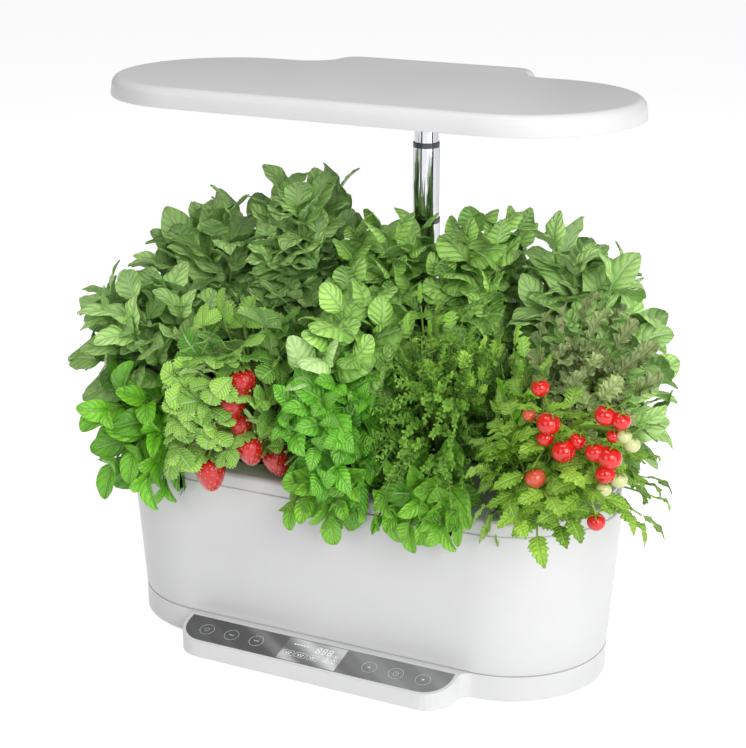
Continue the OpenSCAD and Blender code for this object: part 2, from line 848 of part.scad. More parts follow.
module pod_basket(at) {
    floor_top = basket_low + basket_floor;
    color([0.12, 0.12, 0.12])
    translate([at.x, at.y, 0])
        difference() {
            union() {
                translate([0, 0, basket_low])
                    cylinder(r1 = basket_r - basket_taper, r2 = basket_r, h = basket_h);
                translate([0, 0, lid_z]) cylinder(r = pod_hole_r + flange_w, h = flange_t);
            }
            translate([0, 0, floor_top])
                cylinder(r1 = basket_inner_r(floor_top), r2 = basket_inner_r(lid_z), h = lid_z - floor_top);
            translate([0, 0, lid_z - eps]) cylinder(r = basket_inner_r(lid_z), h = flange_t + 1);
            for (turn = [0, 90])
                rotate(turn)
                    translate([-window_w / 2, -2 * basket_r, basket_low + window_edge])
                        cube([window_w, 4 * basket_r, basket_h - window_edge - window_rise]);
            translate([0, 0, basket_low - 1]) cylinder(r = basket_hole_r, h = basket_floor + 2);
        }
}

module grow_sponge(at) {
    low = basket_low + basket_floor;
    color("saddlebrown")
    translate([at.x, at.y, 0])
        difference() {
            translate([0, 0, low])
                cylinder(r1 = basket_inner_r(low) - slip, r2 = basket_inner_r(lid_z) - slip, h = lid_z - low);
            translate([0, 0, lid_z - stem_depth]) cylinder(r = stem_r + slip, h = 20);
        }
}

// ---------------------------------------------------------------- plants

function unit(v) = v / norm(v);
function direction(turn, tilt) = [sin(tilt) * cos(turn), sin(tilt) * sin(turn), cos(tilt)];
function along(v, scale) = [v.x * scale.x, v.y * scale.y, v.z * scale.z];

// Corners of a leaf: shares of its length and width, and its rise, for a hollow blade with a hanging tip
leaf_plan = [
    [0, 0, 0], [0.3, 0.46, 0.1], [0.68, 0.38, 0.04], [1, 0, -0.18], [0.68, -0.38, 0.04], [0.3, -0.46, 0.1],
    [0.45, 0, 0], [0.45, 0, 0]];

function leaf_points(base, axis, face, size) = let (
    side = unit(cross(face, axis)),
    up = cross(axis, side))
    [for (i = [0:7]) base + axis * leaf_plan[i].x * size.x + side * leaf_plan[i].y * size.y
        + up * (leaf_plan[i].z * size.x + (i < 6 ? 0 : i == 6 ? leaf_t / 2 : -leaf_t / 2))];

// One leaf as a thin closed blade over its eight corners
module leaf(points) {
    polyhedron(
        points = points,
        faces = concat([for (i = [0:5]) [i, (i + 1) % 6, 6]], [for (i = [0:5]) [(i + 1) % 6, i, 7]]));
}

// Whether p lies between two corners
function within(p, low, high) =
    min([for (i = [0:2]) p[i] > low[i] && p[i] < high[i] ? 1 : 0]) == 1;
function over_tank(p) = norm([max(0, abs(p.x) - end_x), p.y]) < tank_r + 3;

// Whether a leaf's corner may be at p: not in the lid, post, cap or float's button
function free(p) =
    !(over_tank(p) && p.z < leaf_floor + 1)
    && norm([p.x, p.y - post_y]) > post_gap + 1
    && !within(p, [cap_x + swing_room.x[0], swing_room.y[0], 0],
                  [cap_x + swing_room.x[1], swing_room.y[1], lid_z + swing_room.z[1]])
    && !within(p, [float_x - button_side - 1, -button_side - 1, 0],
                  [float_x + button_side + 1, button_side + 1, lid_z + button_room]);

// Leaves spread over a crown by the golden angle, each hanging outwards from the crown's core
module crown(centre, plant, low, high) {
    radii = plant[1];
    count = plant[3];
    translate(centre) scale(core_share * radii) sphere(1, $fn = 10);
    for (i = [0:count - 1]) {
        tilt = acos(1 - 1.86 * (i + 0.5) / count);
        turn = 137.508 * i;
        out = direction(turn, tilt);
        hang = direction(turn, tilt + 90);
        start = centre + along(out, radii * core_share * 0.88);
        points = leaf_points(start, unit(out + 0.75 * hang), unit(out - 0.5 * hang), plant[2]);
        if (within(start, low, high) && min([for (p = points) free(p) ? 1 : 0]) == 1) leaf(points);
    }
}

module twigs(foot, centre, radii) {
    for (i = [0:8]) {
        end = centre + along(direction(40 * i + 15, 35 + 12 * (i % 3)), 0.5 * radii);
        hull() {
            translate(foot) sphere(stem_r - 0.4, $fn = 6);
            translate(end) sphere(1.2, $fn = 6);
        }
    }
}

// What no crown may enter: tank and lid, the cap's swing, the float's button and the post
module kept_clear() {
    translate([0, 0, -1]) linear_extrude(leaf_floor + 1) stadium(tank_r + 2, $fn = 64);
    translate([cap_x + swing_room.x[0], swing_room.y[0], lid_z])
        cube([swing_room.x[1] - swing_room.x[0], swing_room.y[1] - swing_room.y[0], swing_room.z[1]]);
    translate([float_x - button_side, -button_side, lid_z])
        cube([2 * button_side, 2 * button_side, button_room]);
    at_post() cylinder(r = post_gap, h = beyond + top_limit, $fn = 24);
}

// Plant k of the pods: foliage inside its own upright cell, fruit, twigs and a stem that stands in the sponge
module plant(k, fruit = [], fruit_r = 0) {
    at = pods[k];
    rim = [at.x, at.y, lid_z];
    i = k % 5;
    front = k < 5;
    split = front ? front_split : rear_split;
    low = [split[i] + (i == 0 ? 0 : leaf_gap), front ? front_limit : leaf_gap, low_limit];
    high = [split[i + 1] - (i == 4 ? 0 : leaf_gap), front ? -leaf_gap : back_limit, top_limit];
    centre = rim + PLANTS[k][0];
    difference() {
        intersection() {
            union() {
                crown(centre, PLANTS[k], low, high);
                twigs(rim + [0, 0, stem_rise - 2], centre, PLANTS[k][1]);
                for (p = fruit) {
                    translate(rim + p) sphere(fruit_r, $fn = 8);
                    hull() {
                        translate(rim + p) sphere(1.2, $fn = 6);
                        translate(centre + [0, 0, 10]) sphere(1.2, $fn = 6);
                    }
                }
            }
            translate(low) cube(high - low);
        }
        kept_clear();
    }
    translate([at.x, at.y, lid_z - stem_depth]) cylinder(r = stem_r, h = stem_depth + stem_rise, $fn = 16);
}

base_housing();
bottom_cover();
rubber_feet();
cover_screws();
control_panel();
display_module();
control_board();
touch_springs();
power_inlet();
post_socket();
water_tank();
pump_housing();
pump_cover();
pump_rotor();
riser_tube();
pump_lead();
grow_lid();
fill_cap();
cap_pin();
level_float();
lower_tube();
lower_collar();
middle_tube();
middle_collar();
upper_tube();
lamp_shell();
lamp_lens();
led_board();
led_chips();
lamp_screws();
for (k = [0:9]) {
    pod_basket(pods[k]);
    grow_sponge(pods[k]);
}
color("forestgreen") plant(0);  // bush_basil_1
color("limegreen") plant(1, berries, berry_r);  // strawberry_2
color("green") plant(2);  // mint_3
color("mediumseagreen") plant(3);  // thyme_4
color("olivedrab") plant(4, tomatoes, tomato_r);  // tomato_5
color("darkgreen") plant(5);  // sweet_basil_6
color("darkgreen") plant(6);  // sweet_basil_7
color("limegreen") plant(7);  // green_basil_8
color("limegreen") plant(8);  // green_basil_9
color("darkgreen") plant(9);  // sweet_basil_10
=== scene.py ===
"""Looks of a countertop hydroponic garden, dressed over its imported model.

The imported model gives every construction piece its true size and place. This script dresses those
pieces, draws the outer mouldings again as smooth surfaces, and grows ten plants with their fruit in
the space that the plain plant solids hold. Metres, +Z up, +Y to the back, and the origin lies on the
table under the middle of the base.
"""
import logging
import math
from dataclasses import dataclass, field
from enum import Enum

import bpy
import numpy as np
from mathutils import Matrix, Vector


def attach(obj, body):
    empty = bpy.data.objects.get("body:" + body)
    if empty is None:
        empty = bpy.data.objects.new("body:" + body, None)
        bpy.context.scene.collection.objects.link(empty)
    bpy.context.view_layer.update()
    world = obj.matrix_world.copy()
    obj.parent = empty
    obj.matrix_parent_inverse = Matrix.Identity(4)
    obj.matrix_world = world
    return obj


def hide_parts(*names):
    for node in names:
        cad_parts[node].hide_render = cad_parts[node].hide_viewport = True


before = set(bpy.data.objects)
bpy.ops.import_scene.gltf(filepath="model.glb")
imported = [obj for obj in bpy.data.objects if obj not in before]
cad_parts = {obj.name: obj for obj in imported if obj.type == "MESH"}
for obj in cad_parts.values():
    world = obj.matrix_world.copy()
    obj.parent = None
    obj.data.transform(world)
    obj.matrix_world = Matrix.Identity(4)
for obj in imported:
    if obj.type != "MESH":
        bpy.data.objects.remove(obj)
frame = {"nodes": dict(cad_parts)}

LOG = logging.getLogger("garden")
Colour = tuple[float, float, float, float]
TURN = 2 * math.pi
GOLDEN = math.pi * (3 - math.sqrt(5))

# Distance from the middle to the centre of each round end, in metres.
HALF = 0.1265


def srgb(red: float, green: float, blue: float) -> Colour:
    """Turns a display colour into the linear colour that shaders take.

    Args:
        red: Red from 0 to 255, and green and blue likewise.
        green: Green.
        blue: Blue.

    Returns:
        Linear red, green and blue with full cover.
    """
    shares = np.array([red, green, blue]) / 255
    linear = np.where(shares <= 0.04045, shares / 12.92, ((shares + 0.055) / 1.055) ** 2.4)
    return (float(linear[0]), float(linear[1]), float(linear[2]), 1.0)


def darker(colour: Colour, share: float) -> Colour:
    """Scales a colour's red, green and blue by a share."""
    return tuple(c * share for c in colour[:3]) + (1.0,)


def unit(vectors: np.ndarray) -> np.ndarray:
    """Scales each vector, kept in the last axis, to length one."""
    return vectors / np.maximum(np.linalg.norm(vectors, axis=-1, keepdims=True), 1e-12)


# ---------------------------------------------------------------- surfaces


@dataclass
class Skin:
    """Corners and faces of one surface, or of several laid together.

    Attributes:
        points: Corners in metres, one row each.
        quads: Four corner numbers a row.
        tris: Three corner numbers a row.
        uv: Place of each corner across and along its shape.
        look: Three shares a corner for the finish to use: tone, underside and mark.
        caps: Flat faces with many corners.
    """

    points: np.ndarray
    quads: np.ndarray = field(default_factory=lambda: np.zeros((0, 4), int))
    tris: np.ndarray = field(default_factory=lambda: np.zeros((0, 3), int))
    uv: np.ndarray | None = None
    look: np.ndarray | None = None
    caps: list[np.ndarray] = field(default_factory=list)

    def __post_init__(self) -> None:
        """Fills in plain places and looks where none are given."""
        count = len(self.points)
        self.uv = np.zeros((count, 2)) if self.uv is None else self.uv
        self.look = np.zeros((count, 3)) if self.look is None else self.look

    def volume(self) -> float:
        """Sums the signed volume under the quads and triangles, which is positive when they face outwards.

        Returns:
            Six times the volume in cubic metres.
        """
        corners = np.concatenate([self.tris, self.quads[:, [0, 1, 2]], self.quads[:, [0, 2, 3]]])
        middle = self.points - self.points.mean(axis=0)
        a, b, c = (middle[corners[:, i]] for i in range(3))
        total = float(np.einsum("ij,ij->i", a, np.cross(b, c)).sum())
        for cap in self.caps:
            fan = middle[cap]
            total += float(
                np.einsum("ij,ij->i", fan[:1].repeat(len(cap) - 2, 0), np.cross(fan[1:-1], fan[2:])).sum()
            )
        return total

    def outward(self) -> "Skin":
        """Turns all faces over if they face inwards.

        Returns:
            The same skin.
        """
        if self.volume() < 0:
            self.quads, self.tris = self.quads[:, ::-1], self.tris[:, ::-1]
            self.caps = [cap[::-1] for cap in self.caps]
        return self

    def moved(self, at: np.ndarray, turn: np.ndarray | None = None) -> "Skin":
        """Copies the skin to another place.

        Args:
            at: Where its origin goes.
            turn: Three rows, the directions that its axes take.

        Returns:
            The copy.
        """
        points = self.points if turn is None else self.points @ turn
        return Skin(points + at, self.quads, self.tris, self.uv, self.look, self.caps)

    def marked(self, tone: float | None = None, mark: float | None = None) -> "Skin":
        """Copies the skin with another tone or mark.

        Args:
            tone: Share that the finish mixes its colours by.
            mark: Share that the finish tells sorts of surface apart by.

        Returns:
            The copy.
        """
        look = self.look.copy()
        if tone is not None:
            look[:, 0] = tone
        if mark is not None:
            look[:, 2] = mark
        return Skin(self.points, self.quads, self.tris, self.uv, look, self.caps)


def lay(skins: list[Skin]) -> Skin:
    """Lays skins together as one, with the corner numbers of each moved up by the corners before it.

    Args:
        skins: What is laid together.

    Returns:
        One skin.
    """
    starts = np.cumsum([0] + [len(skin.points) for skin in skins])[:-1]
    pairs = list(zip(skins, starts))
    return Skin(
        np.concatenate([skin.points for skin in skins]),
        np.concatenate([skin.quads + start for skin, start in pairs]),
        np.concatenate([skin.tris + start for skin, start in pairs]),
        np.concatenate([skin.uv for skin in skins]),
        np.concatenate([skin.look for skin in skins]),
        [cap + start for skin, start in pairs for cap in skin.caps],
    )


def grid_quads(rows: int, columns: int, wrap: bool = True) -> np.ndarray:
    """Numbers the faces of a grid whose corners run row by row.

    Args:
        rows: Corners down the grid.
        columns: Corners across it.
        wrap: Whether the last column joins the first.

    Returns:
        Four corner numbers for each face.
    """
    row = np.arange(rows - 1)[:, None] * columns
    left = np.arange(columns if wrap else columns - 1)[None, :]
    right = (left + 1) % columns
    below = row + columns
    return np.stack([row + left, row + right, below + right, below + left], axis=-1).reshape(-1, 4)


def copied(quads: np.ndarray, tris: np.ndarray, copies: int, size: int) -> tuple[np.ndarray, np.ndarray]:
    """Repeats the faces of one shape for many copies laid one after another.

    Args:
        quads: The shape's quads.
        tris: Its triangles.
        copies: How many copies follow each other.
        size: Corners in a copy.

    Returns:
        All quads and all triangles.
    """
    offset = (np.arange(copies) * size)[:, None, None]
    return (quads[None] + offset).reshape(-1, 4), (tris[None] + offset).reshape(-1, 3)


def closed_tube_faces(rings: int, around: int) -> tuple[np.ndarray, np.ndarray]:
    """Numbers the faces of a tube closed by a pole at each end: first pole, rings, last pole.

    Args:
        rings: Rings between the poles.
        around: Corners in a ring.

    Returns:
        Quads and triangles.
    """
    first = np.arange(around) + 1
    after = (first % around) + 1
    start = np.stack([np.zeros(around, int), after, first], axis=-1)
    last = rings * around + 1
    low, high = first + (rings - 1) * around, after + (rings - 1) * around
    end = np.stack([np.full(around, last), low, high], axis=-1)
    return grid_quads(rings, around) + 1, np.concatenate([start, end])


def loft(rings: np.ndarray, flat_ends: bool = True) -> Skin:
    """Joins rings of corners into one closed surface, with a flat face over each end.

    Args:
        rings: Rings, corners in a ring, and their three coordinates.
        flat_ends: Whether the ends are closed; otherwise the last ring joins the first.

    Returns:
        The surface, facing outwards.
    """
    count, around = rings.shape[:2]
    across, along = np.meshgrid(np.linspace(0, 1, around), np.linspace(0, 1, count))
    quads = grid_quads(count, around)
    caps: list[np.ndarray] = []
    if flat_ends:
        caps = [np.arange(around)[::-1], np.arange(around) + (count - 1) * around]
    else:
        low, high = np.arange(around) + (count - 1) * around, np.arange(around)
        quads = np.concatenate([quads, np.stack([low, np.roll(low, -1), np.roll(high, -1), high], axis=-1)])
    uv = np.stack([across, along], axis=-1).reshape(-1, 2)
    return Skin(rings.reshape(-1, 3), quads, uv=uv, caps=caps).outward()


def turned(profile: np.ndarray, steps: int) -> Skin:
    """Turns a profile about the Z axis. Its first and last points lie on the axis and become poles.

    Each point of the profile has a radius and a height, and each ring is a circle of that radius.

    Args:
        profile: Radius and height of each point.
        steps: Corners round the axis.

    Returns:
        The closed surface, facing outwards.
    """
    angle = np.arange(steps) * TURN / steps
    middle = profile[1:-1]
    x = middle[:, :1] * np.cos(angle)
    y = middle[:, :1] * np.sin(angle)
    z = np.broadcast_to(middle[:, 1:], x.shape)
    rings = np.stack([x, y, z], axis=-1).reshape(-1, 3)
    points = np.concatenate([[[0, 0, profile[0, 1]]], rings, [[0, 0, profile[-1, 1]]]])
    around = np.tile(np.arange(steps) / steps, len(middle))
    down = np.repeat(np.linspace(0, 1, len(profile))[1:-1], steps)
    uv = np.concatenate([[[0, 0]], np.stack([around, down], axis=-1), [[0, 1]]])
    quads, tris = closed_tube_faces(len(middle), steps)
    return Skin(points, quads, tris, uv).outward()


def stalks(paths: np.ndarray, radii: np.ndarray, sides: int = 6, tone: float = 0.5) -> Skin:
    """Carries a circle along many paths at once, with a pole just past each end.

    At each point of a path the circle lies across the path's direction there, found from the points
    before and after, and its radius is the one given for that point.

    Args:
        paths: Paths, points in a path, and their three coordinates.
        radii: One radius for each point of a path.
        sides: Corners in a circle.
        tone: Tone of the stalks.

    Returns:
        All stalks, each closed.
    """
    count, steps = paths.shape[:2]
    ahead = unit(np.gradient(paths, axis=1))
    across = unit(np.cross(ahead, np.array([0.31, 0.93, 0.12])))
    over = np.cross(ahead, across)
    angle = np.arange(sides) * TURN / sides
    circle = across[:, :, None] * np.cos(angle)[:, None] + over[:, :, None] * np.sin(angle)[:, None]
    rings = paths[:, :, None] + circle * np.asarray(radii)[..., :, None, None]
    first = paths[:, :1] - ahead[:, :1] * np.asarray(radii)[..., :1, None] * 0.3
    last = paths[:, -1:] + ahead[:, -1:] * np.asarray(radii)[..., -1:, None] * 0.3
    points = np.concatenate([first, rings.reshape(count, -1, 3), last], axis=1)
    size = points.shape[1]
    quads, tris = copied(*closed_tube_faces(steps, sides), count, size)
    skin = Skin(points[0], *closed_tube_faces(steps, sides))
    if skin.volume() < 0:
        quads, tris = quads[:, ::-1], tris[:, ::-1]
    look = np.zeros((count * size, 3))
    look[:, 0], look[:, 2] = tone, 1.0
    uv = np.full((count * size, 2), 0.5)
    return Skin(points.reshape(-1, 3), quads, tris, uv, look)


def plate(outline: np.ndarray, low: float, high: float) -> Skin:
    """Closes a flat outline into a plate between two heights, as rings at both heights with flat ends."""
    rings = np.stack([np.column_stack([outline, np.full(len(outline), z)]) for z in (low, high)])
    return loft(rings)


# ---------------------------------------------------------------- leaves


@dataclass(frozen=True)
class Blade:
    """Form of one kind of leaf. Lengths are shares of the leaf's length unless they say otherwise.

    Attributes:
        width: Greatest width.
        low: How fast the blade widens from its base; small is blunt.
        tip: How slowly it narrows to its tip; large is pointed.
        stalk: Share of the length that is bare stalk.
        fold: Rise of both halves beside the midrib, in radians.
        cup: How far the halves curl down again at the margin.
        droop: Bend of the midrib between base and tip, in radians.
        ruffle: Height of the margin's waves.
        waves: Number of those waves.
        bite: Depth of the teeth in shares of the half width, cut at every second ring.
        puff: Rise of the blade between its side veins.
        veins: Side veins on each half.
        rings: Rings of corners along the leaf.
        columns: Corners across its upper face.
        thick: Thickness in metres.
    """

    width: float = 0.62
    low: float = 0.62
    tip: float = 0.85
    stalk: float = 0.12
    fold: float = 0.30
    cup: float = 0.25
    droop: float = 0.9
    ruffle: float = 0.03
    waves: float = 2.5
    bite: float = 0.0
    puff: float = 0.012
    veins: int = 5
    rings: int = 13
    columns: int = 7
    thick: float = 0.0005

    def around(self) -> int:
        """Corners in one ring: the upper face's, and the lower face's between the margins."""
        return 2 * (self.columns - 1)

    def size(self) -> int:
        """Corners of one leaf, with its two poles."""
        return self.rings * self.around() + 2


@dataclass
class Leaves:
    """Places of many leaves of one kind.

    Attributes:
        base: Where each leaf starts.
        along: The way its midrib leaves.
        up: The way its upper face looks.
        length: Its length in metres.
        tone: Its tone for the finish.
    """

    base: np.ndarray
    along: np.ndarray
    up: np.ndarray
    length: np.ndarray
    tone: np.ndarray

    @staticmethod
    def gathered(groups: list["Leaves"]) -> "Leaves":
        """Puts several groups of leaves together in one."""
        names = ("base", "along", "up", "length", "tone")
        return Leaves(*(np.concatenate([getattr(group, name) for group in groups]) for name in names))


def blade_points(blade: Blade, leaves: Leaves, chance: np.random.Generator) -> np.ndarray:
    """Works out the corners of many leaves at once.

    With s from 0 to 1 along the midrib and t from -1 to 1 across it, the half width is s to the power
    low times (1 - s) to the power tip, scaled to its greatest value. The midrib is an arc that turns
    by droop. Across it the blade rises with the fold, curls with the square of t, puffs between the
    side veins with a sine of s, and waves at the margin. The lower face lies under the upper one by a
    thickness that fades to nothing at the margin.

    Args:
        blade: The leaf's form.
        leaves: Where the leaves are.
        chance: Source of the differences between leaves.

    Returns:
        Leaves, corners of a leaf, and their three coordinates.
    """
    count = len(leaves.length)
    s = (np.arange(blade.rings) + 0.6) / (blade.rings + 0.2)
    t = np.linspace(-1, 1, blade.columns)

    def vary(spread: float) -> np.ndarray:
        """One factor for each leaf, up to a spread from 1."""
        return 1 + spread * chance.uniform(-1, 1, (count, 1, 1))

    body = np.clip((s - blade.stalk) / (1 - blade.stalk), 1e-3, 1)
    peak = blade.low / (blade.low + blade.tip)
    half = (body / peak) ** blade.low * ((1 - body) / (1 - peak)) ** blade.tip * blade.width / 2
    half = np.maximum(half, 0.016 if blade.stalk > 0 else 0.004)
    tooth = np.where((np.arange(blade.rings) % 2 == 1) & (body > 0.08), 1 - blade.bite, 1.0)
    spread = np.sign(t) * np.abs(t) ** 0.9
    edge = np.abs(t)[None, :] ** 3
    reach = half[:, None] * spread[None, :] * (1 - (1 - tooth[:, None]) * edge)
    bend = blade.droop * vary(0.45)
    theta = bend * s[None, :, None] ** 1.2 - 0.25 * bend
    step = np.diff(np.concatenate([[0], s]))[None, :, None]
    run = np.cumsum(np.cos(theta) * step, axis=1)
    fall = np.cumsum(-np.sin(theta) * step, axis=1)
    fold = blade.fold * vary(0.5)
    rise = np.abs(reach)[None] * np.sin(fold) - blade.cup * reach[None] ** 2 / (blade.width / 2)
    cell = np.abs(np.sin(math.pi * blade.veins * (body[:, None] - 0.35 * np.abs(t)[None, :])))
    rise = rise + blade.puff * cell[None] * (np.abs(t) * (1 - t**2) * 2.6)[None, None]
    phase = chance.uniform(0, TURN, (count, 1, 1)) + np.sign(t)[None, None] * 1.3
    wave = np.sin(TURN * blade.waves * s[None, :, None] + phase)
    rise = rise + blade.ruffle * wave * (t**2)[None, None] * (half[:, None] / half.max())[None]
    twist = 0.25 * chance.uniform(-1, 1, (count, 1, 1)) * s[None, :, None]
    across = reach[None] * np.cos(fold)
    level, tilt = np.cos(twist), np.sin(twist)
    across, rise = across * level - rise * tilt, rise * level + across * tilt
    length = leaves.length[:, None, None]
    thick = blade.thick * np.sqrt(np.clip(1 - t**2, 0, 1))[None, None] + np.zeros_like(rise)

    def placed(height: np.ndarray) -> np.ndarray:
        """Puts points across the leaf at a height over its midrib, in the leaf's own axes.

        Args:
            height: Height of each point over the midrib.

        Returns:
            The points.
        """
        x = length * run + height * np.sin(theta)
        z = length * fall + height * np.cos(theta)
        return np.stack([x, length * across, z], axis=-1)

    upper = placed(length * rise + thick / 2)
    lower = placed(length * rise - thick / 2)[:, :, 1:-1][:, :, ::-1]
    rings = np.concatenate([upper, lower], axis=2).reshape(count, -1, 3)
    middle = blade.columns // 2
    root = np.zeros((count, 1, 3))
    last = theta[:, -1, 0]
    back = np.stack([-np.cos(last), 0 * last, np.sin(last)], -1)
    end = placed(length * rise)[:, -1, middle] - back * (leaves.length * 0.02)[:, None]
    local = np.concatenate([root, rings, end[:, None]], axis=1)
    along = unit(leaves.along)
    side = unit(np.cross(leaves.up, along))
    over = np.cross(along, side)
    axes = np.stack([along, side, over], axis=1)
    return leaves.base[:, None] + local @ axes


def blade_skin(blade: Blade, points: np.ndarray, tone: np.ndarray) -> Skin:
    """Closes the corners of many leaves into their skins.

    Args:
        blade: The leaf's form.
        points: Corners from blade_points.
        tone: One tone for each leaf.

    Returns:
        All leaves laid together.
    """
    count, size = points.shape[:2]
    quads, tris = closed_tube_faces(blade.rings, blade.around())
    first = Skin(points[0], quads, tris)
    if first.volume() < 0:
        quads, tris = quads[:, ::-1], tris[:, ::-1]
    quads, tris = copied(quads, tris, count, size)
    t = np.linspace(-1, 1, blade.columns)
    ring = np.concatenate([t, t[1:-1][::-1]])
    s = (np.arange(blade.rings) + 0.6) / (blade.rings + 0.2)
    uv = np.stack(np.meshgrid(0.5 + ring / 2, s), axis=-1).reshape(-1, 2)
    uv = np.concatenate([[[0.5, 0]], uv, [[0.5, 1]]])
    under = np.concatenate([np.zeros(blade.columns), np.ones(blade.columns - 2)])
    under = np.concatenate([[0], np.tile(under, blade.rings), [0]])
    look = np.stack([np.repeat(tone, size), np.tile(under, count), np.zeros(count * size)], axis=-1)
    return Skin(points.reshape(-1, 3), quads, tris, np.tile(uv, (count, 1)), look)


# ---------------------------------------------------------------- finishes


class Recipe:
    """A node material being written: adds nodes and joins their sockets."""

    def __init__(self, name: str) -> None:
        """Starts a material with one shader.

        Args:
            name: The material's name.
        """
        self.material = bpy.data.materials.new(name)
        self.material.use_nodes = True
        self.tree = self.material.node_tree
        self.tree.nodes.clear()
        self.shader = self.node("ShaderNodeBsdfPrincipled")
        out = self.node("ShaderNodeOutputMaterial", {"Surface": self.shader.outputs[0]})
        self.output = out
        self._place: bpy.types.NodeSocket | None = None

    def node(self, kind: str, inputs: dict | None = None, **settings: object) -> bpy.types.Node:
        """Adds a node.

        Args:
            kind: Blender's name of the node.
            inputs: Values or sockets for its inputs, by name or number.
            **settings: Options of the node.

        Returns:
            The node.
        """
        made = self.tree.nodes.new(kind)
        for key, value in settings.items():
            setattr(made, key, value)
        for key, value in (inputs or {}).items():
            self.put(made.inputs[key], value)
        return made

    def put(self, socket: bpy.types.NodeSocket, value: object) -> None:
        """Joins a socket to an input, or sets the input's own value.

        Args:
            socket: The input.
            value: A socket to join to it, or its value.
        """
        if isinstance(value, bpy.types.NodeSocket):
            self.tree.links.new(value, socket)
        else:
            socket.default_value = value

    def math(self, operation: str, *values: object, clamp: bool = False) -> bpy.types.NodeSocket:
        """Adds one step of arithmetic on numbers or sockets."""
        inputs = dict(enumerate(values))
        return self.node("ShaderNodeMath", inputs, operation=operation, use_clamp=clamp).outputs[0]

    def mix(self, share: object, first: object, second: object) -> bpy.types.NodeSocket:
        """Mixes two colours by a share."""
        return self.node("ShaderNodeMix", {0: share, 6: first, 7: second}, data_type="RGBA").outputs[2]

    def step(
        self, value: object, low: float, high: float, start: float = 0.0, end: float = 1.0
    ) -> bpy.types.NodeSocket:
        """Carries a value smoothly from start to end while it goes from low to high."""
        inputs = {"Value": value, "From Min": low, "From Max": high, "To Min": start, "To Max": end}
        return self.node("ShaderNodeMapRange", inputs, interpolation_type="SMOOTHSTEP").outputs[0]

    def varied(self, base: float, wave: object, spread: float) -> bpy.types.NodeSocket:
        """A value that rises from its base by a wave of 0 to 1 times a spread."""
        return self.math("ADD", base, self.math("MULTIPLY", wave, spread))

    def parted(self, vector: object) -> bpy.types.NodeOutputs:
        """The three parts of a vector."""
        return self.node("ShaderNodeSeparateXYZ", {0: vector}).outputs

    def place(self) -> bpy.types.NodeSocket:
        """The point's own coordinates in metres.

        Returns:
            The coordinates.
        """
        if self._place is None:
            self._place = self.node("ShaderNodeTexCoord").outputs["Object"]
        return self._place

    def stretched(self, x: float, y: float, z: float) -> bpy.types.NodeSocket:
        """The point's coordinates, each axis scaled on its own."""
        return self.node("ShaderNodeMapping", {"Vector": self.place(), "Scale": (x, y, z)}).outputs[0]

    def noise(self, scale: float, detail: float = 2.0, where: object = None) -> bpy.types.NodeSocket:
        """Cloudy noise from 0 to 1, with so many swells a metre."""
        inputs = {"Vector": where or self.place(), "Scale": scale, "Detail": detail}
        return self.node("ShaderNodeTexNoise", inputs).outputs[0]

    def cells(self, scale: float) -> bpy.types.NodeSocket:
        """Distance to the nearest of so many scattered points a metre."""
        inputs = {"Vector": self.place(), "Scale": scale}
        return self.node("ShaderNodeTexVoronoi", inputs, feature="F1").outputs[0]

    def bump(self, height: object, depth: float, strength: float = 1.0) -> None:
        """Raises the surface by a height of 0 to 1 times a depth in metres.

        Args:
            height: Height from 0 to 1.
            depth: Depth in metres.
            strength: Share of it that shows.
        """
        inputs = {"Height": height, "Distance": depth, "Strength": strength}
        if self.shader.inputs["Normal"].is_linked:
            inputs["Normal"] = self.shader.inputs["Normal"].links[0].from_socket
        self.put(self.shader.inputs["Normal"], self.node("ShaderNodeBump", inputs).outputs[0])

    def look(self) -> tuple[bpy.types.NodeSocket, ...]:
        """Tone, underside and mark of the surface's own corners."""
        attribute = self.node("ShaderNodeAttribute", attribute_name="look")
        return tuple(self.parted(attribute.outputs["Vector"]))

    def done(self, **values: object) -> bpy.types.Material:
        """Sets the shader's own inputs and hands over the material.

        Args:
            **values: Inputs by their names, with _ for a blank.

        Returns:
            The material.
        """
        for key, value in values.items():
            self.put(self.shader.inputs[key.replace("_", " ")], value)
        return self.material


@dataclass(frozen=True)
class Moulded:
    """Moulded plastic or rubber: fine spark-eroded grain, faint flow marks and a varying sheen.

    Attributes:
        name: Name of the material.
        colour: Its colour.
        roughness: Its sheen, small is glossy.
        grain: Swells of the grain a metre.
        depth: Depth of the grain in metres.
        mottle: How far the colour wanders.
    """

    name: str
    colour: Colour
    roughness: float = 0.35
    grain: float = 2600.0
    depth: float = 0.00003
    mottle: float = 0.03

    def make(self) -> bpy.types.Material:
        """Builds the material.

        Returns:
            The material.
        """
        recipe = Recipe(self.name)
        dark = darker(self.colour, 1 - self.mottle)
        flow = recipe.noise(9.0, 3.0, recipe.stretched(1.0, 1.0, 2.4))
        fine = recipe.noise(self.grain, 2.0)
        recipe.bump(fine, self.depth, 0.6)
        recipe.bump(recipe.noise(38.0, 1.0), 0.00025, 0.10)
        sheen = recipe.varied(self.roughness - 0.05, recipe.noise(60.0, 4.0), 0.1)
        colour = recipe.mix(recipe.step(flow, 0.35, 0.7), self.colour, dark)
        return recipe.done(Base_Color=colour, Roughness=sheen)


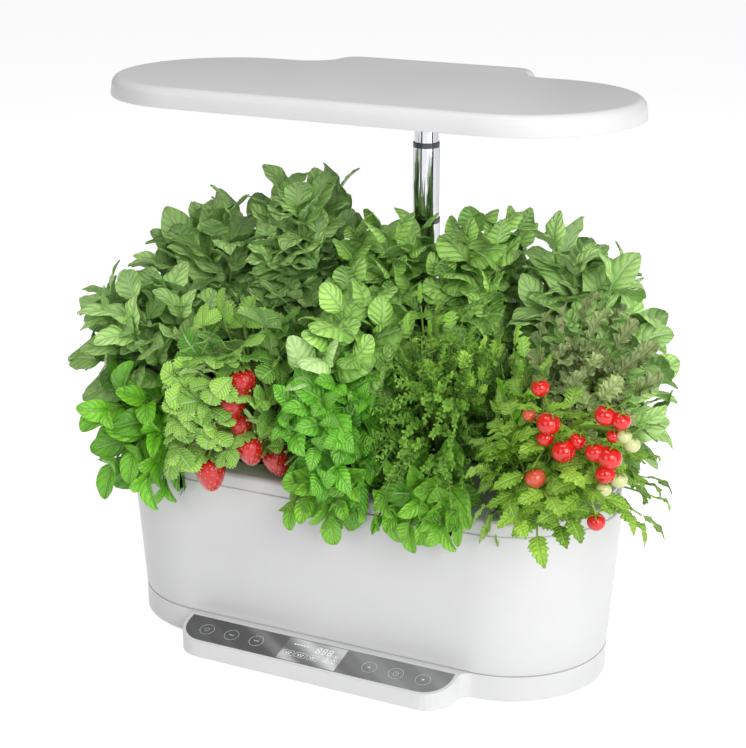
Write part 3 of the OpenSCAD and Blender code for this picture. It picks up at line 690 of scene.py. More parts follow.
@dataclass(frozen=True)
class Metal:
    """Bare or plated metal with fine draw lines along one axis and faint handling haze.

    Attributes:
        name: Name of the material.
        colour: Its colour.
        roughness: Its sheen.
        lines: Scale of the draw lines on each axis.
        depth: Depth of the lines in metres.
    """

    name: str
    colour: Colour
    roughness: float = 0.12
    lines: tuple[float, float, float] = (900.0, 900.0, 6.0)
    depth: float = 0.000006

    def make(self) -> bpy.types.Material:
        """Builds the material.

        Returns:
            The material.
        """
        recipe = Recipe(self.name)
        drawn = recipe.noise(1.0, 2.0, recipe.stretched(*self.lines))
        haze = recipe.noise(45.0, 4.0)
        recipe.bump(drawn, self.depth, 0.5)
        sheen = recipe.varied(self.roughness - 0.03, haze, 0.08)
        tint = darker(self.colour, 0.86)
        colour = recipe.mix(recipe.step(haze, 0.4, 0.75), self.colour, tint)
        return recipe.done(Base_Color=colour, Roughness=sheen, Metallic=1.0)


@dataclass(frozen=True)
class SmokedPanelPaintedReflection:
    """Back-printed acrylic: hard gloss over smoked print, with a painted reflection in its colour that is
    dark at the left and lighter at the right.

    Soft slanted stripes of painted reflected light lie over it, with fine wipe marks over them.

    Attributes:
        name: Name of the material.
        dark: Colour at the left end, the dark side of the painted reflection.
        light: Colour at the right end, the bright side of the painted reflection.
        half: Half of the length over which one goes over to the other.
        bands: How strongly the painted slanted stripes of reflected light show.
    """

    name: str = "smoked panel painted reflection"
    dark: Colour = srgb(50, 50, 52)
    light: Colour = srgb(138, 138, 140)
    half: float = 0.12
    bands: float = 0.55

    def make(self) -> bpy.types.Material:
        """Builds the material.

        Returns:
            The material.
        """
        recipe = Recipe(self.name)
        x, y, _ = recipe.parted(recipe.place())
        slant = recipe.math("MULTIPLY_ADD", y, 1.6, x)
        # Painted reflection: the colour runs from dark to light along a slant across the panel.
        run = recipe.step(slant, -self.half - 0.15, self.half - 0.15)
        # Painted reflection: soft slanted stripes of light are added to the colour.
        where = recipe.node("ShaderNodeCombineXYZ", {0: recipe.math("MULTIPLY", slant, 24.0)}).outputs[0]
        painted_reflection_band = recipe.step(recipe.noise(1.0, 1.0, where), 0.42, 0.66)
        run, painted_reflection_band = recipe.math("MULTIPLY", run, 0.75), recipe.math("MULTIPLY", painted_reflection_band, self.bands)
        share = recipe.math("ADD", run, painted_reflection_band, clamp=True)
        wipes = recipe.noise(1.0, 3.0, recipe.stretched(20.0, 420.0, 420.0))
        recipe.bump(recipe.noise(30.0, 1.0), 0.0002, 0.08)
        sheen = recipe.varied(0.05, wipes, 0.06)
        colour = recipe.mix(share, self.dark, self.light)
        gloss = {"Coat_Weight": 0.6, "Coat_Roughness": 0.04, "Specular_IOR_Level": 0.8}
        return recipe.done(Base_Color=colour, Roughness=sheen, **gloss)


@dataclass(frozen=True)
class Print:
    """Light ink of the panel's rings, signs and display marks, uneven as thin screen print is."""

    name: str = "panel print"
    ink: Colour = srgb(214, 216, 218)
    thin: Colour = srgb(176, 178, 182)
    glow: float = 0.12

    def make(self) -> bpy.types.Material:
        """Builds the material.

        Returns:
            The material.
        """
        recipe = Recipe(self.name)
        colour = recipe.mix(recipe.step(recipe.noise(700.0, 3.0), 0.4, 0.7), self.ink, self.thin)
        recipe.bump(recipe.noise(3000.0), 0.00001, 0.4)
        lit = {"Emission_Color": colour, "Emission_Strength": self.glow}
        return recipe.done(Base_Color=colour, Roughness=0.3, **lit)


@dataclass(frozen=True)
class Lens:
    """Milky lens of the lamp with fine moulded prisms and a faint line of light chips behind it."""

    name: str = "lamp lens"
    colour: Colour = srgb(236, 239, 242)

    def make(self) -> bpy.types.Material:
        """Builds the material.

        Returns:
            The material.
        """
        recipe = Recipe(self.name)
        prisms = recipe.cells(420.0)
        recipe.bump(recipe.math("SUBTRACT", 1.0, prisms), 0.0004, 0.5)
        # Painted shade: the lens goes darker away from each prism's middle, in the hollows between prisms.
        shade = darker(self.colour, 0.85)
        colour = recipe.mix(recipe.step(prisms, 0.0, 0.7), self.colour, shade)
        return recipe.done(Base_Color=colour, Roughness=0.28, Transmission_Weight=0.25, IOR=1.49)


@dataclass(frozen=True)
class Board:
    """Printed circuit board: solder mask over faint tracks, with small pads."""

    name: str
    mask: Colour
    track: Colour

    def make(self) -> bpy.types.Material:
        """Builds the material.

        Returns:
            The material.
        """
        recipe = Recipe(self.name)
        tracks = recipe.noise(1.0, 0.0, recipe.stretched(140.0, 900.0, 140.0))
        line = recipe.math("ABSOLUTE", recipe.math("SUBTRACT", tracks, 0.5))
        line = recipe.step(line, 0.02, 0.05, 1.0, 0.0)
        recipe.bump(line, 0.00004, 0.6)
        pads = recipe.step(recipe.cells(260.0), 0.08, 0.12, 0.6, 0.0)
        colour = recipe.mix(recipe.math("MAXIMUM", line, pads), self.mask, self.track)
        return recipe.done(Base_Color=colour, Roughness=0.35)


@dataclass(frozen=True)
class Glowing:
    """Phosphor of a light chip: a domed yellow field in a pale frame."""

    name: str = "light chip"
    phosphor: Colour = srgb(240, 214, 120)
    frame: Colour = srgb(238, 238, 230)

    def make(self) -> bpy.types.Material:
        """Builds the material.

        Returns:
            The material.
        """
        recipe = Recipe(self.name)
        field_share = recipe.step(recipe.noise(500.0, 2.0), 0.42, 0.55)
        recipe.bump(recipe.noise(2400.0), 0.00003, 0.6)
        colour = recipe.mix(field_share, self.phosphor, self.frame)
        return recipe.done(Base_Color=colour, Emission_Color=colour, Emission_Strength=0.15, Roughness=0.4)


@dataclass(frozen=True)
class Peat:
    """Pressed growing medium: brown, open and fibrous."""

    name: str = "growing sponge"
    dark: Colour = srgb(48, 33, 22)
    light: Colour = srgb(116, 86, 58)

    def make(self) -> bpy.types.Material:
        """Builds the material.

        Returns:
            The material.
        """
        recipe = Recipe(self.name)
        pores = recipe.cells(900.0)
        crumbs = recipe.noise(520.0, 6.0)
        recipe.bump(recipe.math("MULTIPLY", pores, crumbs), 0.0012, 0.9)
        colour = recipe.mix(recipe.step(crumbs, 0.3, 0.7), self.dark, self.light)
        return recipe.done(Base_Color=colour, Roughness=0.95)


@dataclass(frozen=True)
class Foliage:
    """Leaf with a pale midrib and side veins, a blade puffed between them with painted shade in the creases
    beside the veins, and a paler underside.

    Attributes:
        name: Name of the material.
        deep: Colour of shaded and older leaves.
        bright: Colour of young ones.
        vein: Colour of the veins.
        under: Colour of the underside.
        stem: Colour of stems and stalks.
        veins: Side veins on each half.
        slant: How far a side vein runs towards the tip on its way out, in spaces between veins.
        cover: How strongly the veins show.
        puff: Depth of the puffed blade in metres.
        gloss: Roughness of the leaf.
        rim: How far the margin goes over to the vein's colour.
    """

    name: str
    deep: Colour
    bright: Colour
    vein: Colour
    under: Colour
    stem: Colour = srgb(122, 152, 78)
    veins: float = 6.0
    slant: float = 1.6
    cover: float = 0.55
    puff: float = 0.0012
    gloss: float = 0.42
    rim: float = 0.0

    def make(self) -> bpy.types.Material:
        """Builds the material.

        Returns:
            The material.
        """
        recipe = Recipe(self.name)
        tone, under, stalk = recipe.look()
        across, run, _ = recipe.parted(recipe.node("ShaderNodeUVMap").outputs[0])
        out = recipe.math("ABSOLUTE", recipe.math("MULTIPLY_ADD", across, 2.0, -1.0))
        wander = recipe.math("MULTIPLY_ADD", recipe.noise(160.0, 2.0), 0.5, -0.25)
        lean = recipe.math("MULTIPLY", recipe.math("POWER", out, 1.3), self.slant)
        level = recipe.math("SUBTRACT", recipe.math("MULTIPLY", run, self.veins), lean)
        count = recipe.math("ADD", level, wander)
        space = recipe.math("PINGPONG", count, 0.5)
        side = recipe.step(space, 0.0, 0.13, 1.0, 0.0)
        side = recipe.math("MULTIPLY", side, recipe.step(out, 0.55, 1.0, 0.75, 0.1))
        rib = recipe.step(out, 0.02, 0.11, 1.0, 0.0)
        veins = recipe.math("MAXIMUM", rib, side)
        swell = recipe.math("SQRT", recipe.math("MULTIPLY", space, 2.0))
        dome = recipe.math("MULTIPLY", swell, recipe.step(out, 0.0, 0.25))
        small = recipe.noise(750.0, 3.0)
        recipe.bump(dome, self.puff, 0.75)
        recipe.bump(small, 0.00035, 0.35)
        cloud = recipe.math("MULTIPLY_ADD", recipe.noise(55.0, 3.0), 0.5, -0.25)
        fresh = recipe.math("ADD", tone, cloud, clamp=True)
        colour = recipe.mix(fresh, self.deep, self.bright)
        # Painted shade: the blade goes darker towards the deep colour where the puff dips, in the creases
        # beside the veins and midrib.
        shade = recipe.mix(0.45, colour, self.deep)
        colour = recipe.mix(recipe.step(dome, 0.15, 0.75), shade, colour)
        felt = recipe.step(small, 0.2, 0.6, 0.8, 1.0)
        below = recipe.math("MULTIPLY", recipe.math("MULTIPLY", under, 0.75), felt)
        colour = recipe.mix(below, colour, self.under)
        colour = recipe.mix(recipe.math("MULTIPLY", veins, self.cover), colour, self.vein)
        if self.rim:
            margin = recipe.math("MULTIPLY", recipe.step(out, 0.72, 1.0), self.rim)
            colour = recipe.mix(margin, colour, self.vein)
        colour = recipe.mix(stalk, colour, self.stem)
        sheen = recipe.math("ADD", self.gloss, recipe.math("MULTIPLY_ADD", small, 0.2, -0.08))
        return recipe.done(Base_Color=colour, Roughness=sheen, Specular_IOR_Level=0.45)


@dataclass(frozen=True)
class Fruit:
    """Skin of a fruit, with another colour where the surface carries a mark, such as a seed.

    Attributes:
        name: Name of the material.
        ripe: Colour at tone 1.
        green: Colour at tone 0.
        seed: Colour of what carries the mark.
        gloss: Roughness.
    """

    name: str
    ripe: Colour
    green: Colour
    seed: Colour
    gloss: float = 0.2

    def make(self) -> bpy.types.Material:
        """Builds the material.

        Returns:
            The material.
        """
        recipe = Recipe(self.name)
        tone, _, mark = recipe.look()
        cloud = recipe.math("MULTIPLY_ADD", recipe.noise(90.0, 3.0), 0.3, -0.15)
        blush = recipe.math("ADD", tone, cloud, clamp=True)
        colour = recipe.mix(recipe.step(blush, 0.1, 0.9), self.green, self.ripe)
        colour = recipe.mix(mark, colour, self.seed)
        recipe.bump(recipe.noise(900.0, 2.0), 0.00012, 0.3)
        sheen = recipe.varied(self.gloss - 0.05, recipe.noise(200.0), 0.12)
        return recipe.done(Base_Color=colour, Roughness=sheen, Coat_Weight=0.5, Coat_Roughness=0.12)


Finish = Moulded | Metal | Foliage | Fruit | SmokedPanelPaintedReflection | Print | Lens | Board | Glowing | Peat


class Stock:
    """Keeps each finish's material, so that it is built once."""

    made: dict[str, bpy.types.Material] = {}

    @classmethod
    def of(cls, finish: Finish) -> bpy.types.Material:
        """Hands over a finish's material, and builds it at its first use.

        Args:
            finish: The finish.

        Returns:
            Its material.
        """
        if finish.name not in cls.made:
            cls.made[finish.name] = finish.make()
        return cls.made[finish.name]


WHITE = Moulded("white shell", srgb(226, 226, 227), 0.32)
WHITE_INNER = Moulded("white inner plastic", srgb(218, 218, 218), 0.42)
LAMP_WHITE = Moulded("lamp white", srgb(224, 224, 225), 0.36)
GREY = Moulded("grey plastic", srgb(176, 178, 180), 0.45)
BLACK = Moulded("black plastic", srgb(24, 24, 26), 0.45, mottle=0.2)
RED = Moulded("red button", srgb(196, 62, 40), 0.3, mottle=0.1)
RUBBER = Moulded("rubber", srgb(42, 42, 44), 0.8, grain=1500.0, depth=0.00012, mottle=0.25)
CHROME = Metal("chrome tube", srgb(206, 208, 212), 0.09)
COLLAR = Metal("dark collar", srgb(86, 88, 92), 0.28, (40.0, 40.0, 2200.0))
STEEL = Metal("screw steel", srgb(160, 162, 166), 0.3, (1800.0, 1800.0, 1800.0), 0.00002)
COPPER = Metal("spring copper", srgb(190, 128, 78), 0.3, (600.0, 600.0, 2400.0), 0.00002)
MAGNET = Metal("magnet", srgb(70, 70, 74), 0.45, (1500.0, 1500.0, 1500.0), 0.00003)
GREEN_BOARD = Board("green board", srgb(24, 84, 50), srgb(84, 140, 84))
LIGHT_BOARD = Board("light board", srgb(236, 236, 232), srgb(204, 204, 198))


# ---------------------------------------------------------------- putting pieces in place


def build(
    name: str, skin: Skin, body: str, finish: Finish, replaces: tuple[str, ...] = ()
) -> bpy.types.Object:
    """Makes a piece from a skin, ties it to the body that it moves with and hides the construction pieces
    that it stands for.

    Args:
        name: The piece's name.
        skin: Its surface.
        body: The body that it moves with.
        finish: Its finish.
        replaces: Construction pieces that it stands for.

    Returns:
        The piece.
    """
    mesh = bpy.data.meshes.new(name)
    faces = [skin.quads.ravel(), skin.tris.ravel(), *skin.caps]
    corners = np.concatenate(faces).astype(np.int32)
    caps = [len(cap) for cap in skin.caps]
    sizes = np.concatenate([np.full(len(skin.quads), 4), np.full(len(skin.tris), 3), caps])
    starts = np.concatenate([[0], np.cumsum(sizes)[:-1]]).astype(np.int32)
    mesh.vertices.add(len(skin.points))
    mesh.vertices.foreach_set("co", skin.points.astype(np.float32).ravel())
    mesh.loops.add(len(corners))
    mesh.loops.foreach_set("vertex_index", corners)
    mesh.polygons.add(len(sizes))
    mesh.polygons.foreach_set("loop_start", starts)
    mesh.update(calc_edges=True)
    layer = mesh.uv_layers.new(name="UVMap")
    layer.data.foreach_set("uv", skin.uv[corners].astype(np.float32).ravel())
    look = mesh.attributes.new("look", "FLOAT_VECTOR", "POINT")
    look.data.foreach_set("vector", skin.look.astype(np.float32).ravel())
    mesh.shade_smooth()
    mesh.set_sharp_from_angle(angle=math.radians(38))
    mesh.materials.append(Stock.of(finish))
    piece = bpy.data.objects.new(name, mesh)
    bpy.context.scene.collection.objects.link(piece)
    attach(piece, body)
    if replaces:
        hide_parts(*replaces)
    LOG.info("%s: %d faces on %s", name, len(sizes), body)
    return piece


def dress(names: tuple[str, ...], finish: Finish) -> None:
    """Gives construction pieces a finish and smooth shading between their faces.

    Args:
        names: The pieces.
        finish: Their finish.
    """
    for name in names:
        mesh = frame["nodes"][name].data
        mesh.materials.clear()
        mesh.materials.append(Stock.of(finish))
        mesh.shade_smooth()
        mesh.set_sharp_from_angle(angle=math.radians(30))
        LOG.info("%s: dressed in %s", name, finish.name)


# ---------------------------------------------------------------- plants


# Lid, post, cap and float that the leaves keep clear of, in metres.
LID_TOP = 0.1592
LID_EDGE = 0.0915
POST_AT = (0.0, 0.106)
POST_ROOM = 0.0175
POST_REACH = 0.0155
ROOMS = (((0.1594, 0.2194), (-0.022, 0.022), 0.194), ((-0.200, -0.184), (-0.008, 0.008), 0.196))

# Degrees between the leaflets of a three-part leaf, and pairs of leaflets on a rib.
LEAFLET_SPREAD = 62.0
LEAFLET_PAIRS = 3


@dataclass(frozen=True)
class Cell:
    """Upright space that one plant may fill, so that its pod lifts out past its neighbours.

    Attributes:
        low: Least x, y and z.
        high: Greatest x, y and z.
    """

    low: tuple[float, float, float]
    high: tuple[float, float, float]

    def moved_in(self, points: np.ndarray) -> np.ndarray:
        """Shifts each leaf that reaches past a wall of the cell back by part of what it reaches over.

        Args:
            points: Shapes, corners of a shape, and their three coordinates.

        Returns:
            The shifted corners.
        """
        least, most = points.min(axis=1), points.max(axis=1)
        short = np.clip(np.array(self.low) - least, 0, None)
        over = np.clip(most - np.array(self.high), 0, None)
        return points + 0.45 * (short - over)[:, None]

    def squeezed(self, points: np.ndarray, soft: float = 0.011) -> np.ndarray:
        """Draws corners near a wall together, ever more the farther they reach past it, so none crosses.

        Args:
            points: Corners, with their coordinates in the last axis.
            soft: Depth of the layer before a wall in which this happens.

        Returns:
            The corners inside the walls.
        """
        low, high = np.array(self.low), np.array(self.high)
        past_high = np.clip(points - (high - soft), 0, None)
        past_low = np.clip((low + soft) - points, 0, None)
        points = points - past_high + soft * (1 - np.exp(-past_high / soft))
        return points + past_low - soft * (1 - np.exp(-past_low / soft))

    @staticmethod
    def is_free(points: np.ndarray) -> np.ndarray:
        """Finds the leaves or shoots that stay off the post, the cap's swing and the float's room.

        Args:
            points: Shapes, corners of a shape, and their three coordinates.

        Returns:
            Whether each shape is free of them.
        """
        taken = np.linalg.norm(points[..., :2] - np.array(POST_AT), axis=-1) < POST_REACH
        for (x0, x1), (y0, y1), top in ROOMS:
            x, y, z = points[..., 0], points[..., 1], points[..., 2]
            depth = np.stack([x - x0, x1 - x, y - y0, y1 - y, top - z], axis=-1).min(axis=-1)
            taken |= depth > 0.0015
        return ~taken.any(axis=1)

    def kept_clear(self, points: np.ndarray) -> np.ndarray:
        """Holds corners inside the cell and clear of tank, lid, post, cap and float.

        A corner too low over the tank goes up to the lid or out past the rim, whichever is nearer. A
        corner too near to the post goes straight away from it. One in the way of the cap or of the
        float's button goes out of that room by its nearest side or top.

        Args:
            points: Corners, with their coordinates in the last axis.

        Returns:
            The corners after the moves.
        """
        points = self.squeezed(points)
        x, y, z = points[..., 0], points[..., 1], points[..., 2]
        beyond = np.sign(x) * np.clip(np.abs(x) - HALF, 0, None)
        away = np.stack([beyond, y], axis=-1)
        distance = np.maximum(np.linalg.norm(away, axis=-1), 1e-9)
        lift, out = LID_TOP - z, LID_EDGE - distance
        inside = (lift > 0) & (out > 0)
        z = np.where(inside & (lift <= out), LID_TOP, z)
        push = np.where(inside & (lift > out), out, 0)[..., None] * away / distance[..., None]
        x, y = x + push[..., 0], y + push[..., 1]
        aside = np.stack([x - POST_AT[0], y - POST_AT[1]], axis=-1)
        gap = np.maximum(np.linalg.norm(aside, axis=-1), 1e-9)
        push = np.clip(POST_ROOM - gap, 0, None)[..., None] * aside / gap[..., None]
        x, y = x + push[..., 0], y + push[..., 1]
        for (x0, x1), (y0, y1), top in ROOMS:
            held = (x > x0) & (x < x1) & (y > y0) & (y < y1) & (z < top)
            sides = np.stack([x - x0, x1 - x, y - y0, y1 - y, top - z], axis=-1)
            nearest = sides.argmin(axis=-1)
            x = np.where(held & (nearest == 0), x0, np.where(held & (nearest == 1), x1, x))
            y = np.where(held & (nearest == 2), y0, np.where(held & (nearest == 3), y1, y))
            z = np.where(held & (nearest == 4), top, z)
        return np.clip(np.stack([x, y, z], axis=-1), np.array(self.low), np.array(self.high))


@dataclass(frozen=True)
class Crown:
    """Egg-shaped outer form of a plant.

    Attributes:
        middle: Its middle in metres.
        radii: Its half widths along X, Y and Z.
        bottom: Least height of a shoot's direction, from -1 to 1.
        square: How boxy the form is; 2 is an egg.
    """

    middle: tuple[float, float, float]
    radii: tuple[float, float, float]
    bottom: float = -0.55
    square: float = 2.8

    def tips(self, count: int, depth: tuple[float, float], chance: np.random.Generator) -> np.ndarray:
        """Spreads points over the crown by the golden angle, each at its own depth.

        Args:
            count: How many.
            depth: Least and greatest share of the radius.
            chance: Source of the depths and of small shifts.

        Returns:
            The points.
        """
        number = np.arange(count)
        height = 1 - (1 - self.bottom) * (number + 0.5) / count
        angle = GOLDEN * number + chance.uniform(-0.35, 0.35, count)
        flat = np.sqrt(1 - height**2)
        ways = np.stack([flat * np.cos(angle), flat * np.sin(angle), height], axis=-1)
        ways = ways / (np.abs(ways) ** self.square).sum(axis=-1, keepdims=True) ** (1 / self.square)
        share = chance.uniform(*depth, (count, 1))
        return np.array(self.middle) + ways * np.array(self.radii) * share


def curves(start: np.ndarray, end: np.ndarray, rise: float, steps: int) -> tuple[np.ndarray, np.ndarray]:
    """Draws arcs that leave upwards and bend over to their ends: curves through a point over the start.

    Args:
        start: Where each arc starts.
        end: Where it ends.
        rise: Height of the bending point, as a share of the way to the end.
        steps: Points on each arc.

    Returns:
        The points, and the directions at them.
    """
    way = end - start
    climb = rise * np.linalg.norm(way, axis=-1, keepdims=True)
    bend = start + way * np.array([0.25, 0.25, 0]) + np.array([0, 0, 1]) * climb
    t = np.linspace(0, 1, steps)[None, :, None]
    a, b, c = start[:, None], bend[:, None], end[:, None]
    return (1 - t) ** 2 * a + 2 * t * (1 - t) * b + t**2 * c, unit(2 * (1 - t) * (b - a) + 2 * t * (c - b))


def turned_about(axis: np.ndarray, angle: np.ndarray) -> tuple[np.ndarray, np.ndarray]:
    """Finds a direction square to each axis, at an angle round it, and the one square to both.

    Args:
        axis: Directions to turn about.
        angle: Angle about each in radians.

    Returns:
        The direction at the angle, and the one square to it and to the axis.
    """
    first = unit(np.cross(axis, np.array([0.43, 0.12, 0.9])))
    second = np.cross(axis, first)
    out = first * np.cos(angle)[..., None] + second * np.sin(angle)[..., None]
    return out, np.cross(axis, out)


# Opening angle in degrees and share of a full leaf for each pair of leaves, from the tip down.
SHOOT = ((26, 0.66), (48, 0.95), (64, 1.05), (76, 1.0), (80, 0.9), (84, 0.8))
# Middle and radius of each berry and tomato, and how ripe the tomatoes are.
BERRY_PLACES = (
    (-0.0780, -0.1200, 0.1650, 0.0124), (-0.0385, -0.0840, 0.1710, 0.0116),
    (-0.0430, -0.1180, 0.1900, 0.0112), (-0.0580, -0.1180, 0.2230, 0.0100),
    (-0.0490, -0.1160, 0.2420, 0.0108), (-0.0530, -0.1140, 0.2060, 0.0086),
)
TOMATO_PLACES = (
    (0.198, -0.110, 0.248, 0.0088, 1.0), (0.195, -0.108, 0.236, 0.0064, 0.9),
    (0.210, -0.110, 0.229, 0.0088, 1.0), (0.218, -0.104, 0.236, 0.0064, 0.95),
    (0.239, -0.108, 0.260, 0.0078, 1.0), (0.250, -0.106, 0.257, 0.0070, 1.0),
    (0.234, -0.112, 0.233, 0.0072, 1.0), (0.244, -0.110, 0.230, 0.0092, 1.0),
    (0.242, -0.112, 0.218, 0.0072, 0.95), (0.245, -0.106, 0.245, 0.0052, 0.9),
    (0.190, -0.112, 0.206, 0.0078, 0.72), (0.237, -0.112, 0.181, 0.0068, 0.9),
    (0.253, -0.106, 0.246, 0.0054, 0.1), (0.258, -0.104, 0.240, 0.0060, 0.12),
    (0.251, -0.108, 0.214, 0.0062, 0.15), (0.241, -0.110, 0.206, 0.0056, 0.1),
    (0.187, -0.100, 0.270, 0.0068, 0.95), (0.180, -0.102, 0.249, 0.0052, 0.7),
)
TO_EYE = unit(np.array([0.43, -0.85, 0.30]))


def hides_fruit(middles: np.ndarray, reach: np.ndarray) -> np.ndarray:
    """Finds the leaves that stand before a berry or tomato, which the grower has picked off.

    Args:
        middles: Middle of each leaf.
        reach: How far each leaf reaches from its middle.

    Returns:
        Whether each leaf is one of them.
    """
    fruit = np.array([place[:4] for place in BERRY_PLACES + TOMATO_PLACES])
    away = middles[:, None] - fruit[None, :, :3]
    ahead = away @ TO_EYE
    aside = np.linalg.norm(away - ahead[..., None] * TO_EYE, axis=-1)
    return ((ahead > -0.004) & (aside < fruit[None, :, 3] * 0.8 + reach[:, None])).any(axis=1)


@dataclass
class Plant:
    """One pod's plant. Kinds of plant add their own ways to grow leaves.

    Attributes:
        number: The pod's number.
        node: The construction piece that the plant stands for.
        foot: Middle of the pod on the lid.
        cell: Space that it may fill.
        crown: Its outer form.
        blade: Form of its leaves.
        finish: Their finish.
        length: Length of a full leaf in metres.
        shoots: How many shoots or leaf stalks reach the crown.
        depth: Least and greatest share of the crown that they reach.
        leaders: Ends of further shoots that give the plant its own outline.
        seed: Seed of its chance.
    """

    number: int
    node: str
    foot: tuple[float, float]
    cell: Cell
    crown: Crown
    blade: Blade
    finish: Foliage
    length: float
    shoots: int
    depth: tuple[float, float] = (0.72, 1.04)
    leaders: tuple[tuple[float, float, float], ...] = ()
    seed: int = 0

    def __post_init__(self) -> None:
        """Starts the plant's own chance."""
        self.chance = np.random.default_rng(100 + 17 * self.number + self.seed)

    def starts(self, count: int) -> np.ndarray:
        """Where shoots leave the pod: points in a small round over the sponge.

        Args:
            count: How many shoots.

        Returns:
            Their first points.
        """
        angle = self.chance.uniform(0, TURN, count)
        radius = self.chance.uniform(0.001, 0.006, count)
        ground = np.stack([radius * np.cos(angle), radius * np.sin(angle), np.full(count, 0.0)], axis=-1)
        return ground + np.array([self.foot[0], self.foot[1], 0.1535])

    def reached(self) -> np.ndarray:
        """Ends of the shoots, held a little inside the cell and over the lid.

        Returns:
            The ends.
        """
        tips = self.crown.tips(self.shoots, self.depth, self.chance)
        if self.leaders:
            tips = np.concatenate([tips, np.array(self.leaders)])
        margin = 0.30 * self.length
        low = np.array(self.cell.low) + margin
        high = np.array(self.cell.high) - margin
        return np.clip(tips, low, high)

    def stem_skin(self, paths: np.ndarray, radii: np.ndarray) -> Skin:
        """Closes shoots into stalks that stay clear of tank and post."""
        return stalks(self.cell.kept_clear(paths), radii, 6, float(self.chance.uniform(0.4, 0.6)))

    def leaf_skin(self, leaves: Leaves, blade: Blade | None = None) -> Skin:
        """Closes leaves into skins inside the cell.

        Args:
            leaves: Where the leaves are.
            blade: Form of the leaves, the plant's own if not given.

        Returns:
            The skins of the leaves that are shown.
        """
        blade = blade or self.blade
        points = blade_points(blade, leaves, self.chance)
        points = self.cell.moved_in(points)
        free = self.cell.is_free(self.cell.squeezed(points))
        points = self.cell.kept_clear(points)
        shown = free & ~hides_fruit(points.mean(axis=1), 0.13 * leaves.length)
        return blade_skin(blade, points[shown], leaves.tone[shown])

    def growth(self) -> list[Skin]:
        """Grows stems and leaves: shoots in whorls."""
        ends = self.reached()
        return self.whorled(self.starts(len(ends)), ends)

    def whorled(self, starts: np.ndarray, ends: np.ndarray, nodes: int = 4) -> list[Skin]:
        """Grows shoots with pairs of opposite leaves, each pair turned a quarter from the last.

        The pair at the tip is smaller and stands up along the shoot. Lower pairs are larger and open
        wider, and all upper faces turn partly to the light above.

        Args:
            starts: Where the shoots start.
            ends: Where they end.
            nodes: Pairs on each shoot.

        Returns:
            Stems and leaves.
        """
        paths, ways = curves(starts, ends, 0.55, 14)
        free = self.cell.is_free(paths)
        paths, ways, ends = paths[free], ways[free], ends[free]
        reach = np.linalg.norm(np.diff(paths, axis=1), axis=-1).sum(axis=1)
        spacing = self.length * 0.40
        groups: list[Leaves] = []
        turn = self.chance.uniform(0, TURN, len(ends))
        for node, (open_angle, share) in enumerate(SHOOT[:nodes]):
            back = np.clip(1 - (0.15 + node) * spacing / reach, 0.3, 1)
            place = back * (paths.shape[1] - 1)
            below = np.floor(place).astype(int).clip(0, paths.shape[1] - 2)
            part = (place - below)[:, None]
            row = np.arange(len(ends))
            base = paths[row, below] * (1 - part) + paths[row, below + 1] * part
            way = unit(ways[row, below] * (1 - part) + ways[row, below + 1] * part)
            for half in (0, 1):
                angle = turn + node * math.pi / 2 + half * math.pi + self.chance.normal(0, 0.22, len(ends))
                out, _ = turned_about(way, angle)
                opened = np.radians(open_angle + self.chance.normal(0, 9, len(ends)))[:, None]
                along = out * np.sin(opened) + way * np.cos(opened)
                outward = unit(base - np.array(self.crown.middle))
                up = way * np.sin(opened) - out * np.cos(opened) + np.array([0, 0, 0.35]) + 0.6 * outward
                length = self.length * share * self.chance.uniform(0.8, 1.15, len(ends))
                # Lower pairs are older and stand deeper in the crown: their darker tone is partly their own
                # colour and partly painted shade.
                tone = np.clip(0.85 - 0.16 * node + self.chance.normal(0, 0.16, len(ends)), 0.02, 1)
                groups.append(Leaves(base, along, up, length, tone))
        radii = np.linspace(0.0017, 0.0008, paths.shape[1])
        return [self.stem_skin(paths, radii), self.leaf_skin(Leaves.gathered(groups))]

    def make(self) -> None:
        """Grows the plant and puts it in the place of its plain solid."""
        skin = lay(self.growth())
        build(f"{self.node}_foliage", skin, f"pod_{self.number}", self.finish, (self.node,))


class Fan(Plant):
    """Plant whose leaves have three toothed leaflets at the end of a long stalk, as a strawberry's."""

    def growth(self) -> list[Skin]:
        """Grows leaf stalks from the pod, and on each a middle leaflet with one at either side."""
        ends = self.reached()
        return self.fans(self.starts(len(ends)), ends)

    def fans(self, starts: np.ndarray, ends: np.ndarray) -> list[Skin]:
        """Puts leaflets on stalks.

        Args:
            starts: Where the stalks start.
            ends: Where the leaflets meet.

        Returns:
            Stalks and leaflets.
        """
        paths, ways = curves(starts, ends, 0.5, 12)
        tip = ways[:, -1]
        outward = unit(ends - np.array(self.crown.middle) + np.array([0, 0, 0.01]))
        stray = self.chance.normal(0, 0.32, tip.shape)
        along = unit(tip * 0.35 + outward * 0.4 + np.array([0, 0, -0.25]) + stray)
        up = unit(outward + np.array([0, 0, 0.4]) + self.chance.normal(0, 0.14, tip.shape))
        up = unit(up - along * np.einsum("ij,ij->i", up, along)[:, None])
        side = np.cross(up, along)
        groups = []
        whole = self.chance.uniform(0.75, 1.12, len(ends))
        tone = np.clip(self.chance.normal(0.55, 0.22, len(ends)), 0.05, 1)
        for angle, share in ((0.0, 1.0), (LEAFLET_SPREAD, 0.88), (-LEAFLET_SPREAD, 0.88)):
            lean = math.radians(angle)
            way = along * math.cos(lean) + side * math.sin(lean)
            shade = np.clip(tone + self.chance.normal(0, 0.06, len(ends)), 0, 1)
            groups.append(Leaves(ends, way, up, self.length * whole * share, shade))
        radii = np.linspace(0.0014, 0.0008, paths.shape[1])
        return [self.stem_skin(paths, radii), self.leaf_skin(Leaves.gathered(groups))]


